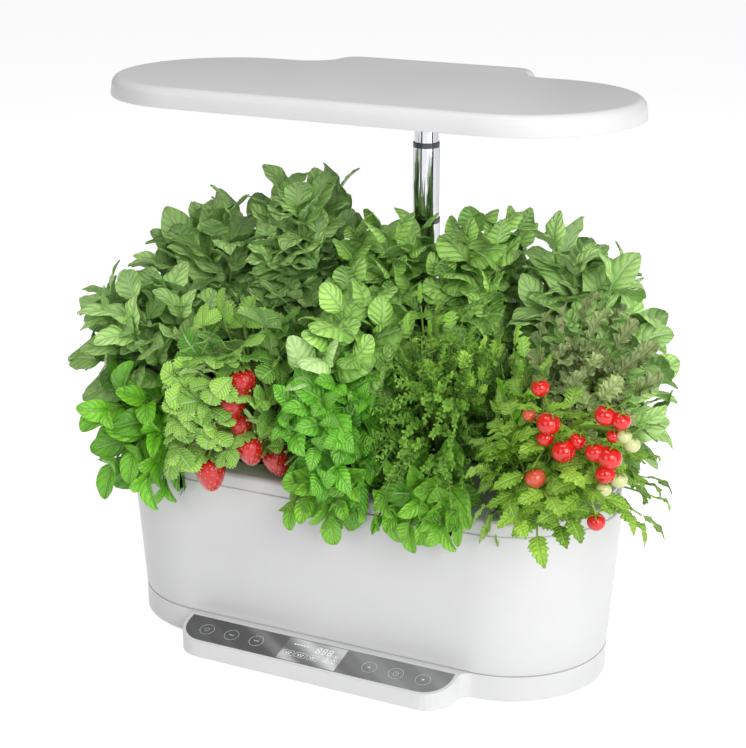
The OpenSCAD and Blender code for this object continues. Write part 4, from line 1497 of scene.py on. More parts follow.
class Fine(Plant):
    """Plant of many thin twigs with tiny leaves, as thyme."""

    def growth(self) -> list[Skin]:
        """Grows twigs in two storeys: from the pod to inner points, and from there to the crown.

        Returns:
            Trunks, twigs and leaves.
        """
        inner = np.array(self.crown.middle) + (self.reached()[::4] - np.array(self.crown.middle)) * 0.45
        trunks, _ = curves(self.starts(len(inner)), inner, 0.5, 8)
        ends = self.reached()
        origin = inner[np.argmin(np.linalg.norm(ends[:, None] - inner[None], axis=-1), axis=1)]
        twigs, ways = curves(origin, ends, 0.35, 18)
        count, steps = twigs.shape[:2]
        groups = []
        for half in (0, 1):
            stray = self.chance.normal(0, 0.4, (count, steps))
            angle = np.arange(steps)[None] * math.pi / 2 + half * math.pi + stray
            out, _ = turned_about(ways, angle)
            along = out * 0.85 + ways * 0.5 + self.chance.normal(0, 0.12, out.shape)
            up = ways + np.array([0, 0, 0.6])
            share = np.linspace(1.0, 0.55, steps)[None] * self.chance.uniform(0.75, 1.25, (count, steps))
            # Leaves near the inner end of a twig are older and deeper in the bush: their darker tone is
            # partly their own colour and partly painted shade.
            tone = np.linspace(0.15, 0.95, steps)[None] + self.chance.normal(0, 0.15, (count, steps))
            rows = [part.reshape(-1, 3) for part in (twigs, along, up)]
            groups.append(Leaves(*rows, self.length * share.ravel(), np.clip(tone, 0, 1).ravel()))
        return [
            self.stem_skin(trunks, np.linspace(0.0013, 0.0008, 8)),
            stalks(self.cell.kept_clear(twigs), np.linspace(0.0005, 0.0003, steps), 4),
            self.leaf_skin(Leaves.gathered(groups)),
        ]


class Feathered(Plant):
    """Plant whose leaves carry toothed leaflets in pairs along a rib, as a tomato's or parsley's."""

    def growth(self) -> list[Skin]:
        """Grows ribs from the pod with pairs of leaflets on the outer part of each and one at the tip."""
        ends = self.reached()
        return self.ribbed(self.starts(len(ends)), ends)

    def ribbed(self, starts: np.ndarray, ends: np.ndarray) -> list[Skin]:
        """Puts leaflets on ribs.

        Args:
            starts: Where the ribs start.
            ends: Where they end.

        Returns:
            Ribs and leaflets.
        """
        paths, ways = curves(starts, ends, 0.42, 16)
        reach = np.linalg.norm(np.diff(paths, axis=1), axis=-1).sum(axis=1)
        tone = np.clip(self.chance.normal(0.5, 0.2, len(ends)), 0.05, 1)
        outward = unit(ends - np.array(self.crown.middle))
        first = ways[:, -1] + self.chance.normal(0, 0.1, ends.shape)
        size = self.length * self.chance.uniform(0.9, 1.2, len(ends))
        groups = [Leaves(ends, first, outward + np.array([0, 0, 0.8]), size, tone)]
        for pair in range(LEAFLET_PAIRS):
            back = np.clip(1 - (pair + 0.7) * self.length * 0.62 / reach, 0.35, 1)
            place = (back * (paths.shape[1] - 1)).astype(int)
            base, way = paths[np.arange(len(ends)), place], ways[np.arange(len(ends)), place]
            up = unit(outward + np.array([0, 0, 0.9]))
            side = unit(np.cross(up, way))
            for sign in (-1, 1):
                along = side * sign + way * 0.55 + self.chance.normal(0, 0.12, way.shape)
                share = (0.95 - 0.13 * pair) * self.chance.uniform(0.8, 1.15, len(ends))
                over = np.cross(along, np.cross(up, along))
                shade = np.clip(tone + self.chance.normal(0, 0.08, len(ends)), 0, 1)
                groups.append(Leaves(base, along, over, self.length * share, shade))
        ribs = self.stem_skin(paths, np.linspace(0.0016, 0.0007, 16))
        return [ribs, self.leaf_skin(Leaves.gathered(groups))]


@dataclass(frozen=True)
class Calyx:
    """Star of sepals on top of a fruit, with the stalk that it hangs from.

    Attributes:
        sepals: Number of sepals.
        lift: How far they stand up from the fruit.
        width: Their width as a share of their length.
        droop: Their bend in radians.
        share: Their length as a share of the fruit's radius.
        tone: Their tone.
        rise: How high the stalk bends over, as a share of its run.
        stalk: Radius of the stalk.
    """

    sepals: int
    lift: float
    width: float
    droop: float
    share: float
    tone: float
    rise: float
    stalk: float

    def skins(
        self, plant: Plant, start: np.ndarray, top: np.ndarray, axes: np.ndarray, radius: float
    ) -> list[Skin]:
        """Grows sepals and stalk.

        Args:
            plant: The plant that they belong to.
            start: Where the stalk starts.
            top: Top of the fruit.
            axes: The fruit's own axes, the last of them upwards.
            radius: Radius of the fruit.

        Returns:
            The sepals and the stalk.
        """
        side, over, up = axes
        count = self.sepals
        angle = np.arange(count) * TURN / count + plant.chance.uniform(0, 1)
        ways = side * np.cos(angle)[:, None] + over * np.sin(angle)[:, None] + up * self.lift
        blade = Blade(self.width, stalk=0.0, droop=self.droop, rings=5, columns=3, ruffle=0.0, puff=0.0)
        base, faces = np.tile(top + up * 0.0006, (count, 1)), np.tile(up, (count, 1))
        spots = Leaves(base, ways, faces, np.full(count, radius * self.share), np.full(count, self.tone))
        star = blade_skin(blade, blade_points(blade, spots, plant.chance), spots.tone)
        path, _ = curves(start[None], (top + up * 0.001)[None], self.rise, 10)
        return [star, stalks(plant.cell.kept_clear(path), np.full(10, self.stalk), 6, 0.6)]


class Berries(Fan):
    """Strawberry: three-part leaves and hanging berries."""

    def one(self, radius: float) -> tuple[Skin, Skin]:
        """Shapes one berry with its tip down, and its seeds.

        The radius follows a sine of the way down, fuller near the top, and sinks in a small round dimple
        at every seed. Seeds stand on a spiral of golden angles, each a small egg in its dimple.

        Args:
            radius: The berry's greatest radius.

        Returns:
            The berry and its seeds.
        """
        steps, rings = 40, 30
        share = np.linspace(0, 1, rings)
        flat = radius * np.sin(math.pi * share) ** 0.75 * (1 + 0.28 * np.cos(math.pi * share)) * 0.92
        height = -2.2 * radius * (1 - np.cos(math.pi * share)) / 2
        count = 84
        seed_share = 0.10 + 0.80 * (np.arange(count) + 0.5) / count
        seed_angle = (GOLDEN * np.arange(count)) % TURN
        angle = np.arange(steps) * TURN / steps
        turn = np.abs(angle[None, :, None] - seed_angle) % TURN
        turn = np.minimum(turn, TURN - turn) * flat[:, None, None]
        down = (share[:, None, None] - seed_share) * 2.6 * radius
        near = np.exp(-(turn**2 + down**2) / (0.11 * radius) ** 2).max(axis=-1)
        ring = flat[:, None] * (1 - 0.085 * near)
        level = np.broadcast_to(height[:, None], ring.shape)
        body = np.stack([ring * np.cos(angle), ring * np.sin(angle), level], axis=-1)
        first, last = body[0, :1] * [0, 0, 1], body[-1, :1] * [0, 0, 1]
        points = np.concatenate([first, body[1:-1].reshape(-1, 3), last])
        berry = Skin(points, *closed_tube_faces(rings - 2, steps)).outward().marked(tone=1.0)
        seed = turned(np.array([[0, 1.0], [0.6, 0.45], [0.6, -0.45], [0, -1.0]]) * radius * 0.062, 5)
        row = np.interp(seed_share, share, flat) * 0.955
        out = np.stack([np.cos(seed_angle), np.sin(seed_angle), np.zeros(count)], axis=-1)
        at = out * row[:, None] + np.array([0, 0, 1]) * np.interp(seed_share, share, height)[:, None]
        side = np.stack([-np.sin(seed_angle), np.cos(seed_angle), np.zeros(count)], axis=-1)
        axes = np.stack([out * 0.55, side * 0.75, np.tile([0, 0, 1.0], (count, 1))], axis=1)
        many = at[:, None] + seed.points @ axes
        quads, tris = copied(seed.quads, seed.tris, count, len(seed.points))
        return berry, Skin(many.reshape(-1, 3), quads, tris).outward().marked(tone=1.0, mark=1.0)

    def make(self) -> None:
        """Grows the plant and hangs its berries, each under a star of sepals on a bent stalk."""
        super().make()
        fruit, green = [], []
        calyx = Calyx(
            sepals=9, lift=0.15, width=0.42, droop=1.0, share=1.05, tone=0.8, rise=0.4, stalk=0.0009
        )
        start = np.array([self.foot[0], self.foot[1] - 0.02, 0.215])
        for *place, size in BERRY_PLACES:
            berry, seeds = self.one(size)
            tilt = self.chance.uniform(-0.35, 0.35, 2)
            down = unit(np.array([tilt[0], tilt[1] - 0.12, 1.0]))
            side = unit(np.cross(down, [0.0, 1.0, 0.1]))
            axes = np.stack([side, np.cross(down, side), down])
            top = np.array(place) + down * size * 1.1
            fruit += [berry.moved(top, axes), seeds.moved(top, axes)]
            green += calyx.skins(self, start, top, axes, size)
        build("strawberry_fruit", lay(fruit), "pod_2", BERRY)
        build("strawberry_calyxes", lay(green), "pod_2", self.finish)


class Trusses(Feathered):
    """Cherry tomato: feathered leaves and small round fruit on trusses."""

    def make(self) -> None:
        """Grows the plant and hangs its fruit, each with five thin sepals and a stalk to its truss."""
        super().make()
        fruit, green = [], []
        calyx = Calyx(
            sepals=5, lift=0.25, width=0.22, droop=0.9, share=0.95, tone=0.6, rise=0.35, stalk=0.0008
        )
        profile = np.linspace(0, math.pi, 18)
        start = np.array([self.crown.middle[0], self.crown.middle[1], self.crown.middle[2] + 0.02])
        for x, y, z, radius, ripe in TOMATO_PLACES:
            dimpled = np.cos(profile) * (1 - 0.16 * np.exp(-(profile / 0.42) ** 2))
            outline = np.column_stack([np.sin(profile), dimpled]) * radius
            outline[:, 1] *= 0.94
            outline[0, 0] = outline[-1, 0] = 0
            down = unit(np.array([self.chance.uniform(-0.4, 0.4), self.chance.uniform(-0.35, 0.1), 1.0]))
            side = unit(np.cross(down, [0.0, 1.0, 0.1]))
            axes = np.stack([side, np.cross(down, side), down])
            fruit.append(turned(outline, 28).moved(np.array([x, y, z]), axes).marked(tone=ripe))
            top = np.array([x, y, z]) + down * radius * 0.80
            green += calyx.skins(self, start, top, axes, radius)
        build("tomato_fruit", lay(fruit), "pod_5", TOMATO)
        build("tomato_trusses", lay(green), "pod_5", self.finish)


BERRY = Fruit("strawberry skin", srgb(206, 22, 30), srgb(232, 150, 120), srgb(222, 186, 84), 0.26)
TOMATO = Fruit("tomato skin", srgb(222, 24, 16), srgb(206, 214, 148), srgb(222, 60, 20), 0.14)
SWEET = Foliage(
    "sweet basil leaf", srgb(70, 122, 36), srgb(196, 240, 140), srgb(206, 234, 172), srgb(176, 210, 144),
    gloss=0.42, cover=0.5
)
GREEN = Foliage(
    "green basil leaf", srgb(82, 140, 34), srgb(186, 238, 118), srgb(216, 242, 174), srgb(176, 218, 134),
    gloss=0.36, cover=0.45, puff=0.0016
)
BUSH = Foliage(
    "bush basil leaf", srgb(36, 104, 8), srgb(138, 218, 56), srgb(186, 234, 124), srgb(140, 200, 88),
    gloss=0.26, cover=0.35, veins=5.0, puff=0.001
)
STRAW = Foliage(
    "strawberry leaf", srgb(80, 150, 30), srgb(186, 240, 100), srgb(220, 244, 180), srgb(180, 222, 140),
    stem=srgb(158, 184, 96), gloss=0.42, cover=0.45, veins=8.0, rim=0.3
)
MINT = Foliage(
    "mint leaf", srgb(20, 88, 6), srgb(136, 226, 64), srgb(186, 232, 126), srgb(132, 188, 84), gloss=0.32,
    cover=0.45, veins=8.0, puff=0.0014
)
THYME = Foliage(
    "thyme leaf", srgb(74, 144, 24), srgb(172, 238, 88), srgb(186, 230, 124), srgb(156, 208, 98),
    stem=srgb(116, 160, 60), gloss=0.5, cover=0.2
)
VINE = Foliage(
    "tomato leaf", srgb(84, 138, 18), srgb(178, 230, 76), srgb(206, 236, 126), srgb(164, 206, 102),
    stem=srgb(146, 180, 68), gloss=0.44, cover=0.45, veins=7.0
)
LETTUCE = Foliage(
    "oak leaf lettuce", srgb(108, 126, 74), srgb(184, 208, 130), srgb(206, 218, 164), srgb(168, 166, 136),
    gloss=0.5, cover=0.3, rim=0.1
)
PARSLEY = Foliage(
    "parsley leaf", srgb(130, 206, 44), srgb(206, 250, 110), srgb(200, 238, 120), srgb(154, 210, 96),
    gloss=0.42, cover=0.3
)
PALE = Foliage(
    "pale lettuce leaf", srgb(162, 216, 110), srgb(212, 246, 166), srgb(222, 242, 188), srgb(190, 222, 152),
    gloss=0.45, cover=0.5, veins=7.0
)
RIM = Foliage(
    "young basil leaf", srgb(50, 120, 12), srgb(152, 224, 66), srgb(194, 236, 130), srgb(150, 206, 92),
    gloss=0.30, cover=0.4, veins=6.0
)

# Borders between the cells of both rows, and half the gap that neighbours keep.
FRONT = (-0.265, -0.118, -0.0232, 0.0568, 0.1368, 0.265)
REAR = (-0.265, -0.120, -0.0464, 0.040, 0.1136, 0.265)
GAP = 0.0008


def cell(pod: int) -> Cell:
    """The cell of a pod, counted from 1 along the front row and on along the rear row.

    Args:
        pod: Number of the pod.

    Returns:
        Its cell.
    """
    place, front = (pod - 1) % 5, pod <= 5
    split = FRONT if front else REAR
    y = (-0.1365, -GAP) if front else (GAP, 0.124)
    return Cell((split[place] + GAP, y[0], 0.104), (split[place + 1] - GAP, y[1], 0.392))


def foot(pod: int) -> tuple[float, float]:
    """Middle of a pod on the lid."""
    return ((pod - 1) % 5 * 0.08 - 0.16, -0.042 if pod <= 5 else 0.042)


def crown(
    pod: int, middle: tuple[float, float, float], radii: tuple[float, float, float], bottom: float = -0.55
) -> Crown:
    """A crown whose middle is given in millimetres from the pod's rim, with radii in millimetres.

    Args:
        pod: Number of the pod.
        middle: Middle of the crown in millimetres.
        radii: Its half widths in millimetres.
        bottom: Least height of a shoot's direction.

    Returns:
        The crown in metres.
    """
    at = foot(pod)
    centre = (at[0] + middle[0] / 1000, at[1] + middle[1] / 1000, 0.154 + middle[2] / 1000)
    return Crown(centre, (radii[0] / 1000, radii[1] / 1000, radii[2] / 1000), bottom)


BASIL_BLADE = Blade(width=0.60, low=0.62, tip=0.95, fold=0.30, droop=1.1, ruffle=0.035, puff=0.016)
ROUND_BLADE = Blade(width=0.74, low=0.55, tip=0.72, fold=0.18, cup=0.55, droop=1.0, ruffle=0.02, puff=0.02)
BUSH_BLADE = Blade(width=0.58, low=0.6, tip=0.8, fold=0.45, cup=0.1, droop=0.8, ruffle=0.015, puff=0.006)
MINT_BLADE = Blade(
    width=0.56, low=0.5, tip=0.85, stalk=0.06, fold=0.22, droop=0.9, bite=0.12, ruffle=0.02, puff=0.014,
    rings=21
)
STRAW_BLADE = Blade(
    width=0.82, low=0.95, tip=0.42, stalk=0.04, fold=0.32, cup=0.15, droop=0.55, bite=0.2, ruffle=0.02,
    puff=0.012, veins=7, rings=19
)
VINE_BLADE = Blade(
    width=0.58, low=0.5, tip=0.9, stalk=0.08, fold=0.25, droop=0.8, bite=0.34, ruffle=0.05, puff=0.01,
    rings=13, columns=5
)
THYME_BLADE = Blade(
    width=0.46, low=0.6, tip=0.8, stalk=0.0, fold=0.2, droop=0.5, ruffle=0.0, puff=0.0, rings=2, columns=3,
    thick=0.0003
)
LETTUCE_BLADE = Blade(
    width=0.7, low=0.5, tip=0.45, stalk=0.05, fold=0.35, cup=0.0, droop=0.7, bite=0.3, ruffle=0.10,
    waves=3.5, puff=0.012, rings=15, columns=5
)
PARSLEY_BLADE = Blade(
    width=0.85, low=0.6, tip=0.6, stalk=0.1, fold=0.2, droop=0.4, bite=0.45, ruffle=0.03, puff=0.0, rings=8,
    columns=5
)


# Ends of the leaves that stand beside the front plants, and of the rear plants' longest shoots.
RIM_3 = (
    (-0.010, -0.108, 0.150), (0.005, -0.112, 0.158), (0.018, -0.106, 0.152), (0.030, -0.112, 0.160),
    (0.045, -0.108, 0.154), (0.010, -0.104, 0.172), (0.036, -0.106, 0.172), (0.024, -0.114, 0.146),
)
RIM_4 = (
    (0.062, -0.110, 0.152), (0.076, -0.108, 0.158), (0.090, -0.112, 0.152), (0.104, -0.108, 0.158),
    (0.118, -0.112, 0.154), (0.130, -0.108, 0.160), (0.070, -0.106, 0.170), (0.098, -0.106, 0.168),
    (0.124, -0.108, 0.172),
)
HERBS_4 = (
    (0.064, -0.040, 0.300), (0.077, -0.040, 0.294), (0.064, -0.060, 0.281), (0.081, -0.056, 0.279),
    (0.092, -0.044, 0.284), (0.104, -0.040, 0.276), (0.118, -0.050, 0.270), (0.131, -0.040, 0.274),
    (0.128, -0.070, 0.258), (0.110, -0.066, 0.262), (0.074, -0.080, 0.262), (0.094, -0.078, 0.258),
)
HERBS_5 = (
    (0.143, -0.046, 0.279), (0.151, -0.040, 0.269), (0.142, -0.060, 0.255), (0.148, -0.070, 0.249),
    (0.156, -0.060, 0.262), (0.146, -0.082, 0.238),
)
LETTUCE_5 = (
    (0.159, -0.030, 0.279), (0.178, -0.030, 0.289), (0.198, -0.030, 0.288), (0.218, -0.030, 0.283),
    (0.175, -0.040, 0.262), (0.199, -0.044, 0.261), (0.222, -0.036, 0.265), (0.170, -0.050, 0.246),
    (0.192, -0.056, 0.250), (0.215, -0.052, 0.250), (0.232, -0.030, 0.272), (0.238, -0.044, 0.256),
    (0.188, -0.020, 0.296), (0.208, -0.018, 0.294),
)
PALE_3 = ((-0.006, -0.098, 0.252), (0.012, -0.094, 0.262), (0.004, -0.090, 0.240))
LEFT_TIPS = (
    (-0.212, 0.012, 0.250), (-0.206, 0.030, 0.278), (-0.190, 0.030, 0.300), (-0.160, 0.030, 0.318),
    (-0.140, 0.020, 0.330), (-0.216, 0.010, 0.222),
)
MIDDLE_TIPS = (
    (-0.108, 0.030, 0.340), (-0.088, 0.030, 0.356), (-0.070, 0.020, 0.342), (-0.100, 0.010, 0.326),
)
RIGHT_TIPS = (
    (0.145, 0.030, 0.338), (0.166, 0.030, 0.318), (0.176, 0.030, 0.292), (0.190, 0.030, 0.262),
    (0.192, 0.034, 0.236), (0.188, 0.034, 0.206),
)


@dataclass
class Sprig:
    """A few more leaves of another kind beside a plant, which move with its pod.

    Attributes:
        name: Name of the piece.
        plant: The plant whose growth it follows, made for the same pod.
        ends: Where its shoots or leaves end; without any they end on the plant's crown.
        nodes: Pairs of leaves on a shoot.
    """

    name: str
    plant: Plant
    ends: tuple[tuple[float, float, float], ...] = ()
    nodes: int = 3

    def make(self) -> None:
        """Grows the leaves and adds them as a piece of their own."""
        ends = np.array(self.ends) if self.ends else self.plant.reached()
        starts = self.plant.starts(len(ends))
        if isinstance(self.plant, Feathered):
            parts = self.plant.ribbed(starts, ends)
        else:
            parts = self.plant.whorled(starts, ends, self.nodes)
        build(self.name, lay(parts), f"pod_{self.plant.number}", self.plant.finish)


def herb(
    kind: type, pod: int, node: str, shape: Crown, blade: Blade, finish: Foliage, length: float,
    shoots: int, **more: object
) -> Plant:
    """A plant of a kind in its own pod and cell.

    Args:
        kind: Class of the plant.
        pod: Number of the pod.
        node: The construction piece that it stands for.
        shape: Its crown.
        blade: Its leaf.
        finish: Its leaves' finish.
        length: Length of a full leaf in metres.
        shoots: Number of its shoots.
        **more: Further values of the plant.

    Returns:
        The plant.
    """
    return kind(pod, node, foot(pod), cell(pod), shape, blade, finish, length, shoots, **more)


class Garden:
    """All plants of the ten pods."""

    def make(self) -> None:
        """Grows them from left to right, the front row first."""
        plants = [
            herb(
                Plant, 1, "bush_basil_1", crown(1, (7, -30, 14), (42, 56, 50), -0.6), BUSH_BLADE, BUSH,
                0.050, 28
            ),
            herb(
                Berries, 2, "strawberry_2", crown(2, (13, -36, 60), (58, 72, 66), -0.6), STRAW_BLADE, STRAW,
                0.028, 112
            ),
            herb(
                Plant, 3, "mint_3", crown(3, (18, -36, 42), (62, 68, 60), -0.4), MINT_BLADE, MINT, 0.044, 40
            ),
            herb(
                Fine, 4, "thyme_4", crown(4, (18, -26, 58), (62, 74, 86), -0.55), THYME_BLADE, THYME,
                0.0072, 230, depth=(0.66, 1.04)
            ),
            herb(
                Trusses, 5, "tomato_5", crown(5, (30, -26, 42), (74, 70, 66), -0.6), VINE_BLADE, VINE,
                0.027, 60
            ),
            herb(
                Plant, 6, "sweet_basil_6", crown(6, (-10, 2, 78), (62, 60, 88)), BASIL_BLADE, SWEET, 0.068,
                28, leaders=LEFT_TIPS
            ),
            herb(
                Plant, 7, "sweet_basil_7", crown(7, (-4, 4, 110), (60, 62, 92)), BASIL_BLADE, SWEET, 0.058,
                30, leaders=MIDDLE_TIPS
            ),
            herb(
                Plant, 8, "green_basil_8", crown(8, (-4, 2, 98), (60, 50, 84)), ROUND_BLADE, GREEN, 0.046,
                38
            ),
            herb(
                Plant, 9, "green_basil_9", crown(9, (2, 4, 104), (60, 62, 88)), ROUND_BLADE, GREEN, 0.046,
                38
            ),
            herb(
                Plant, 10, "sweet_basil_10", crown(10, (4, 2, 84), (58, 60, 92)), BASIL_BLADE, SWEET, 0.062,
                32, leaders=RIGHT_TIPS
            ),
        ]
        for plant in plants:
            plant.make()
        for sprig in self.sprigs():
            sprig.make()

    @staticmethod
    def sprigs() -> list[Sprig]:
        """Shoots of other kinds that stand beside or over the front row's plants.

        Returns:
            The sprigs, not yet grown.
        """
        return [
            Sprig(
                "sweet_basil_over_1",
                herb(
                    Plant, 1, "", crown(1, (-14, -4, 92), (50, 40, 40), -0.6), BASIL_BLADE, SWEET, 0.058,
                    22, seed=3
                )
            ),
            Sprig(
                "green_basil_over_3",
                herb(
                    Plant, 3, "", crown(3, (18, -6, 104), (40, 46, 48), -0.6), ROUND_BLADE, GREEN, 0.046,
                    20, seed=4
                )
            ),
            Sprig(
                "pale_leaves_3",
                herb(Plant, 3, "", crown(3, (0, 0, 0), (1, 1, 1)), ROUND_BLADE, PALE, 0.052, 0, seed=5),
                PALE_3, 1
            ),
            Sprig(
                "young_basil_3",
                herb(Plant, 3, "", crown(3, (0, 0, 0), (1, 1, 1)), BUSH_BLADE, RIM, 0.040, 0, seed=6),
                RIM_3
            ),
            Sprig(
                "young_basil_4",
                herb(Plant, 4, "", crown(4, (0, 0, 0), (1, 1, 1)), BUSH_BLADE, RIM, 0.040, 0, seed=7),
                RIM_4
            ),
            Sprig(
                "parsley_4",
                herb(
                    Feathered, 4, "", crown(4, (18, 0, 100), (40, 40, 40)), PARSLEY_BLADE, PARSLEY, 0.017,
                    0, seed=8
                ), HERBS_4
            ),
            Sprig(
                "parsley_5",
                herb(
                    Feathered, 5, "", crown(5, (0, 0, 100), (40, 40, 40)), PARSLEY_BLADE, PARSLEY, 0.017, 0,
                    seed=9
                ), HERBS_5
            ),
            Sprig(
                "lettuce_5",
                herb(
                    Feathered, 5, "", crown(5, (30, 20, 90), (60, 40, 50)), LETTUCE_BLADE, LETTUCE, 0.026,
                    0, seed=10
                ), LETTUCE_5
            ),
        ]


# ---------------------------------------------------------------- mouldings


@dataclass(frozen=True)
class Bend:
    """One arc of an outline, in metres and degrees. A hollow bend curves into the piece."""

    x: float
    y: float
    radius: float
    start: float
    end: float
    hollow: bool = False


@dataclass
class Outline:
    """Closed outline made of arcs with straight runs between them, which can be drawn in or out.

    Attributes:
        bends: Its arcs, counterclockwise.
        steps: Corners on each arc.
    """

    bends: tuple[Bend, ...]
    steps: int = 20

    def __post_init__(self) -> None:
        """Works out the corners and the way out at each: the arc's radius, turned over in a hollow."""
        table = np.array([[b.x, b.y, b.radius, b.start, b.end, 1.0 - 2.0 * b.hollow] for b in self.bends])
        angle = np.radians(table[:, 3:4] + (table[:, 4:5] - table[:, 3:4]) * np.linspace(0, 1, self.steps))
        way = np.stack([np.cos(angle), np.sin(angle)], axis=-1)
        self.points = (table[:, None, :2] + table[:, None, 2:3] * way).reshape(-1, 2)
        self.out = (way * table[:, None, 5:6]).reshape(-1, 2)

    def at(self, inset: float) -> np.ndarray:
        """The outline moved in by a distance."""
        return self.points - self.out * inset

    def rings(self, profile: list[tuple[float, float]]) -> np.ndarray:
        """Rings of the outline at each inset and height of a profile."""
        count = len(self.points)
        return np.stack([np.column_stack([self.at(inset), np.full(count, z)]) for inset, z in profile])


def edge(
    inset: float, z: float, radius: float, start: float, end: float, steps: int = 8
) -> list[tuple[float, float]]:
    """Points of a rounded edge as inset and height, about a centre, from one angle to another in degrees."""
    angle = np.radians(np.linspace(start, end, steps))
    return [(inset - radius * math.cos(a), z + radius * math.sin(a)) for a in angle]


def stadium(half: float, radius: float) -> Outline:
    """Round-ended outline."""
    return Outline((Bend(half, 0, radius, -90, 90), Bend(-half, 0, radius, 90, 270)), 64)


@dataclass
class Lamp:
    """Lamp head on the post: shell, lens, board, chips and screws.

    Attributes:
        half: Distance from the middle to each round end's centre.
        radius: Radius of the round ends at the lower rim.
        low: Height of the lower rim.
        high: Height of the top.
        draft: How far the side leans in on its way up.
        edge: Radius of the top edge.
        wall: Thickness of the shell.
    """

    half: float = HALF
    radius: float = 0.094
    low: float = 0.4445
    high: float = 0.460
    draft: float = 0.001
    edge: float = 0.0075
    wall: float = 0.002

    def outline(self) -> Outline:
        """The head seen from above: a round-ended plate with a lobe over the post.

        Returns:
            The outline at the lower rim.
        """
        half, r = self.half, self.radius
        bends = (
            Bend(half, 0, r, -90, 90),
            Bend(0.111, 0.114, 0.020, 270, 180, True),
            Bend(0.069, 0.115, 0.022, 0, 90),
            Bend(-0.069, 0.115, 0.022, 90, 180),
            Bend(-0.111, 0.114, 0.020, 0, -90, True),
            Bend(-half, 0, r, 90, 270),
        )
        return Outline(bends, 36)

    def make(self) -> None:
        """Draws the shell smoothly and dresses what is inside it."""
        inner = self.edge - self.wall
        profile = edge(self.edge + self.draft, self.high - self.edge, inner, 90, 0)
        profile += [(self.wall, self.low + 0.0006), (self.wall - 0.0003, self.low + 0.0001)]
        profile += [(0.0008, self.low), (0.0002, self.low + 0.0002), (0.0, self.low + 0.0008)]
        profile += edge(self.edge + self.draft, self.high - self.edge, self.edge, 0, 90, 12)
        shell = loft(self.outline().rings(profile))
        build("lamp_head", shell, "lamp", LAMP_WHITE, ("lamp_shell",))
        dress(("lamp_lens",), Lens())
        dress(("led_board",), LIGHT_BOARD)
        dress(("led_chips",), Glowing())
        dress(("lamp_screws",), STEEL)


@dataclass
class Tank:
    """Water tank with its lid, cap and float.

    Attributes:
        half: Distance from the middle to each round end's centre.
        low_r: Radius of the round ends at the seam above the base.
        high_r: Their radius at the rim.
        low: Height of the seam.
        high: Height of the rim.
        wall: Thickness of the wall.
        floor: Thickness of the floor.
        bosses: Places of the screw bosses on it.
    """

    half: float = HALF
    low_r: float = 0.080
    high_r: float = 0.089
    low: float = 0.022
    high: float = 0.1425
    wall: float = 0.0025
    floor: float = 0.003
    bosses: tuple[tuple[float, float], ...] = (
        (-0.150, 0.045), (0.0, 0.058), (0.150, 0.045), (-0.150, -0.045), (0.0, -0.058), (0.150, -0.045)
    )

    def make(self) -> None:
        """Draws the tank as one wall turned over at its rim, and dresses lid, cap and float."""
        lean = (self.high_r - self.low_r) / (self.high - self.low)

        def side(z: float, inset: float = 0.0) -> tuple[float, float]:
            """Inset and height of the leaning wall at a height."""
            return (inset - lean * (z - self.low), z)

        rim = -lean * (self.high - self.low)
        profile = [(0.0016, self.low + 0.0002), (0.0009, self.low + 0.0004), (0.0003, self.low + 0.0011)]
        profile += [side(z) for z in np.linspace(self.low + 0.0022, self.high - 0.0016, 10)]
        profile += [(rim + 0.0002, self.high - 0.0007), (rim + 0.0008, self.high - 0.0001)]
        profile += [(rim + self.wall - 0.0006, self.high - 0.0001)]
        bottom = self.low + self.floor
        profile += [side(z, self.wall) for z in np.linspace(self.high - 0.001, bottom + 0.004, 6)]
        profile += [(self.wall + 0.0008, bottom + 0.0012), (self.wall + 0.004, bottom)]
        parts = [loft(stadium(self.half, self.low_r).rings(profile))]
        boss = np.array([[0, 0.0065], [0.0036, 0.0065], [0.0042, 0.0059], [0.0042, 0.0], [0, -0.0005]])
        parts += [turned(boss, 24).moved(np.array([x, y, self.low + self.floor])) for x, y in self.bosses]
        build("tank_shell", lay(parts), "base", WHITE, ("water_tank",))
        dress(("grow_lid", "fill_cap"), WHITE)
        dress(("cap_pin",), STEEL)
        dress(("level_float",), RED)


class Pump:
    """Pump in the tank, with its riser and lead."""

    def make(self) -> None:
        """Dresses its pieces."""
        dress(("pump_housing", "pump_cover"), BLACK)
        dress(("pump_rotor",), MAGNET)
        dress(("riser_tube",), GREY)
        dress(("pump_lead",), RUBBER)


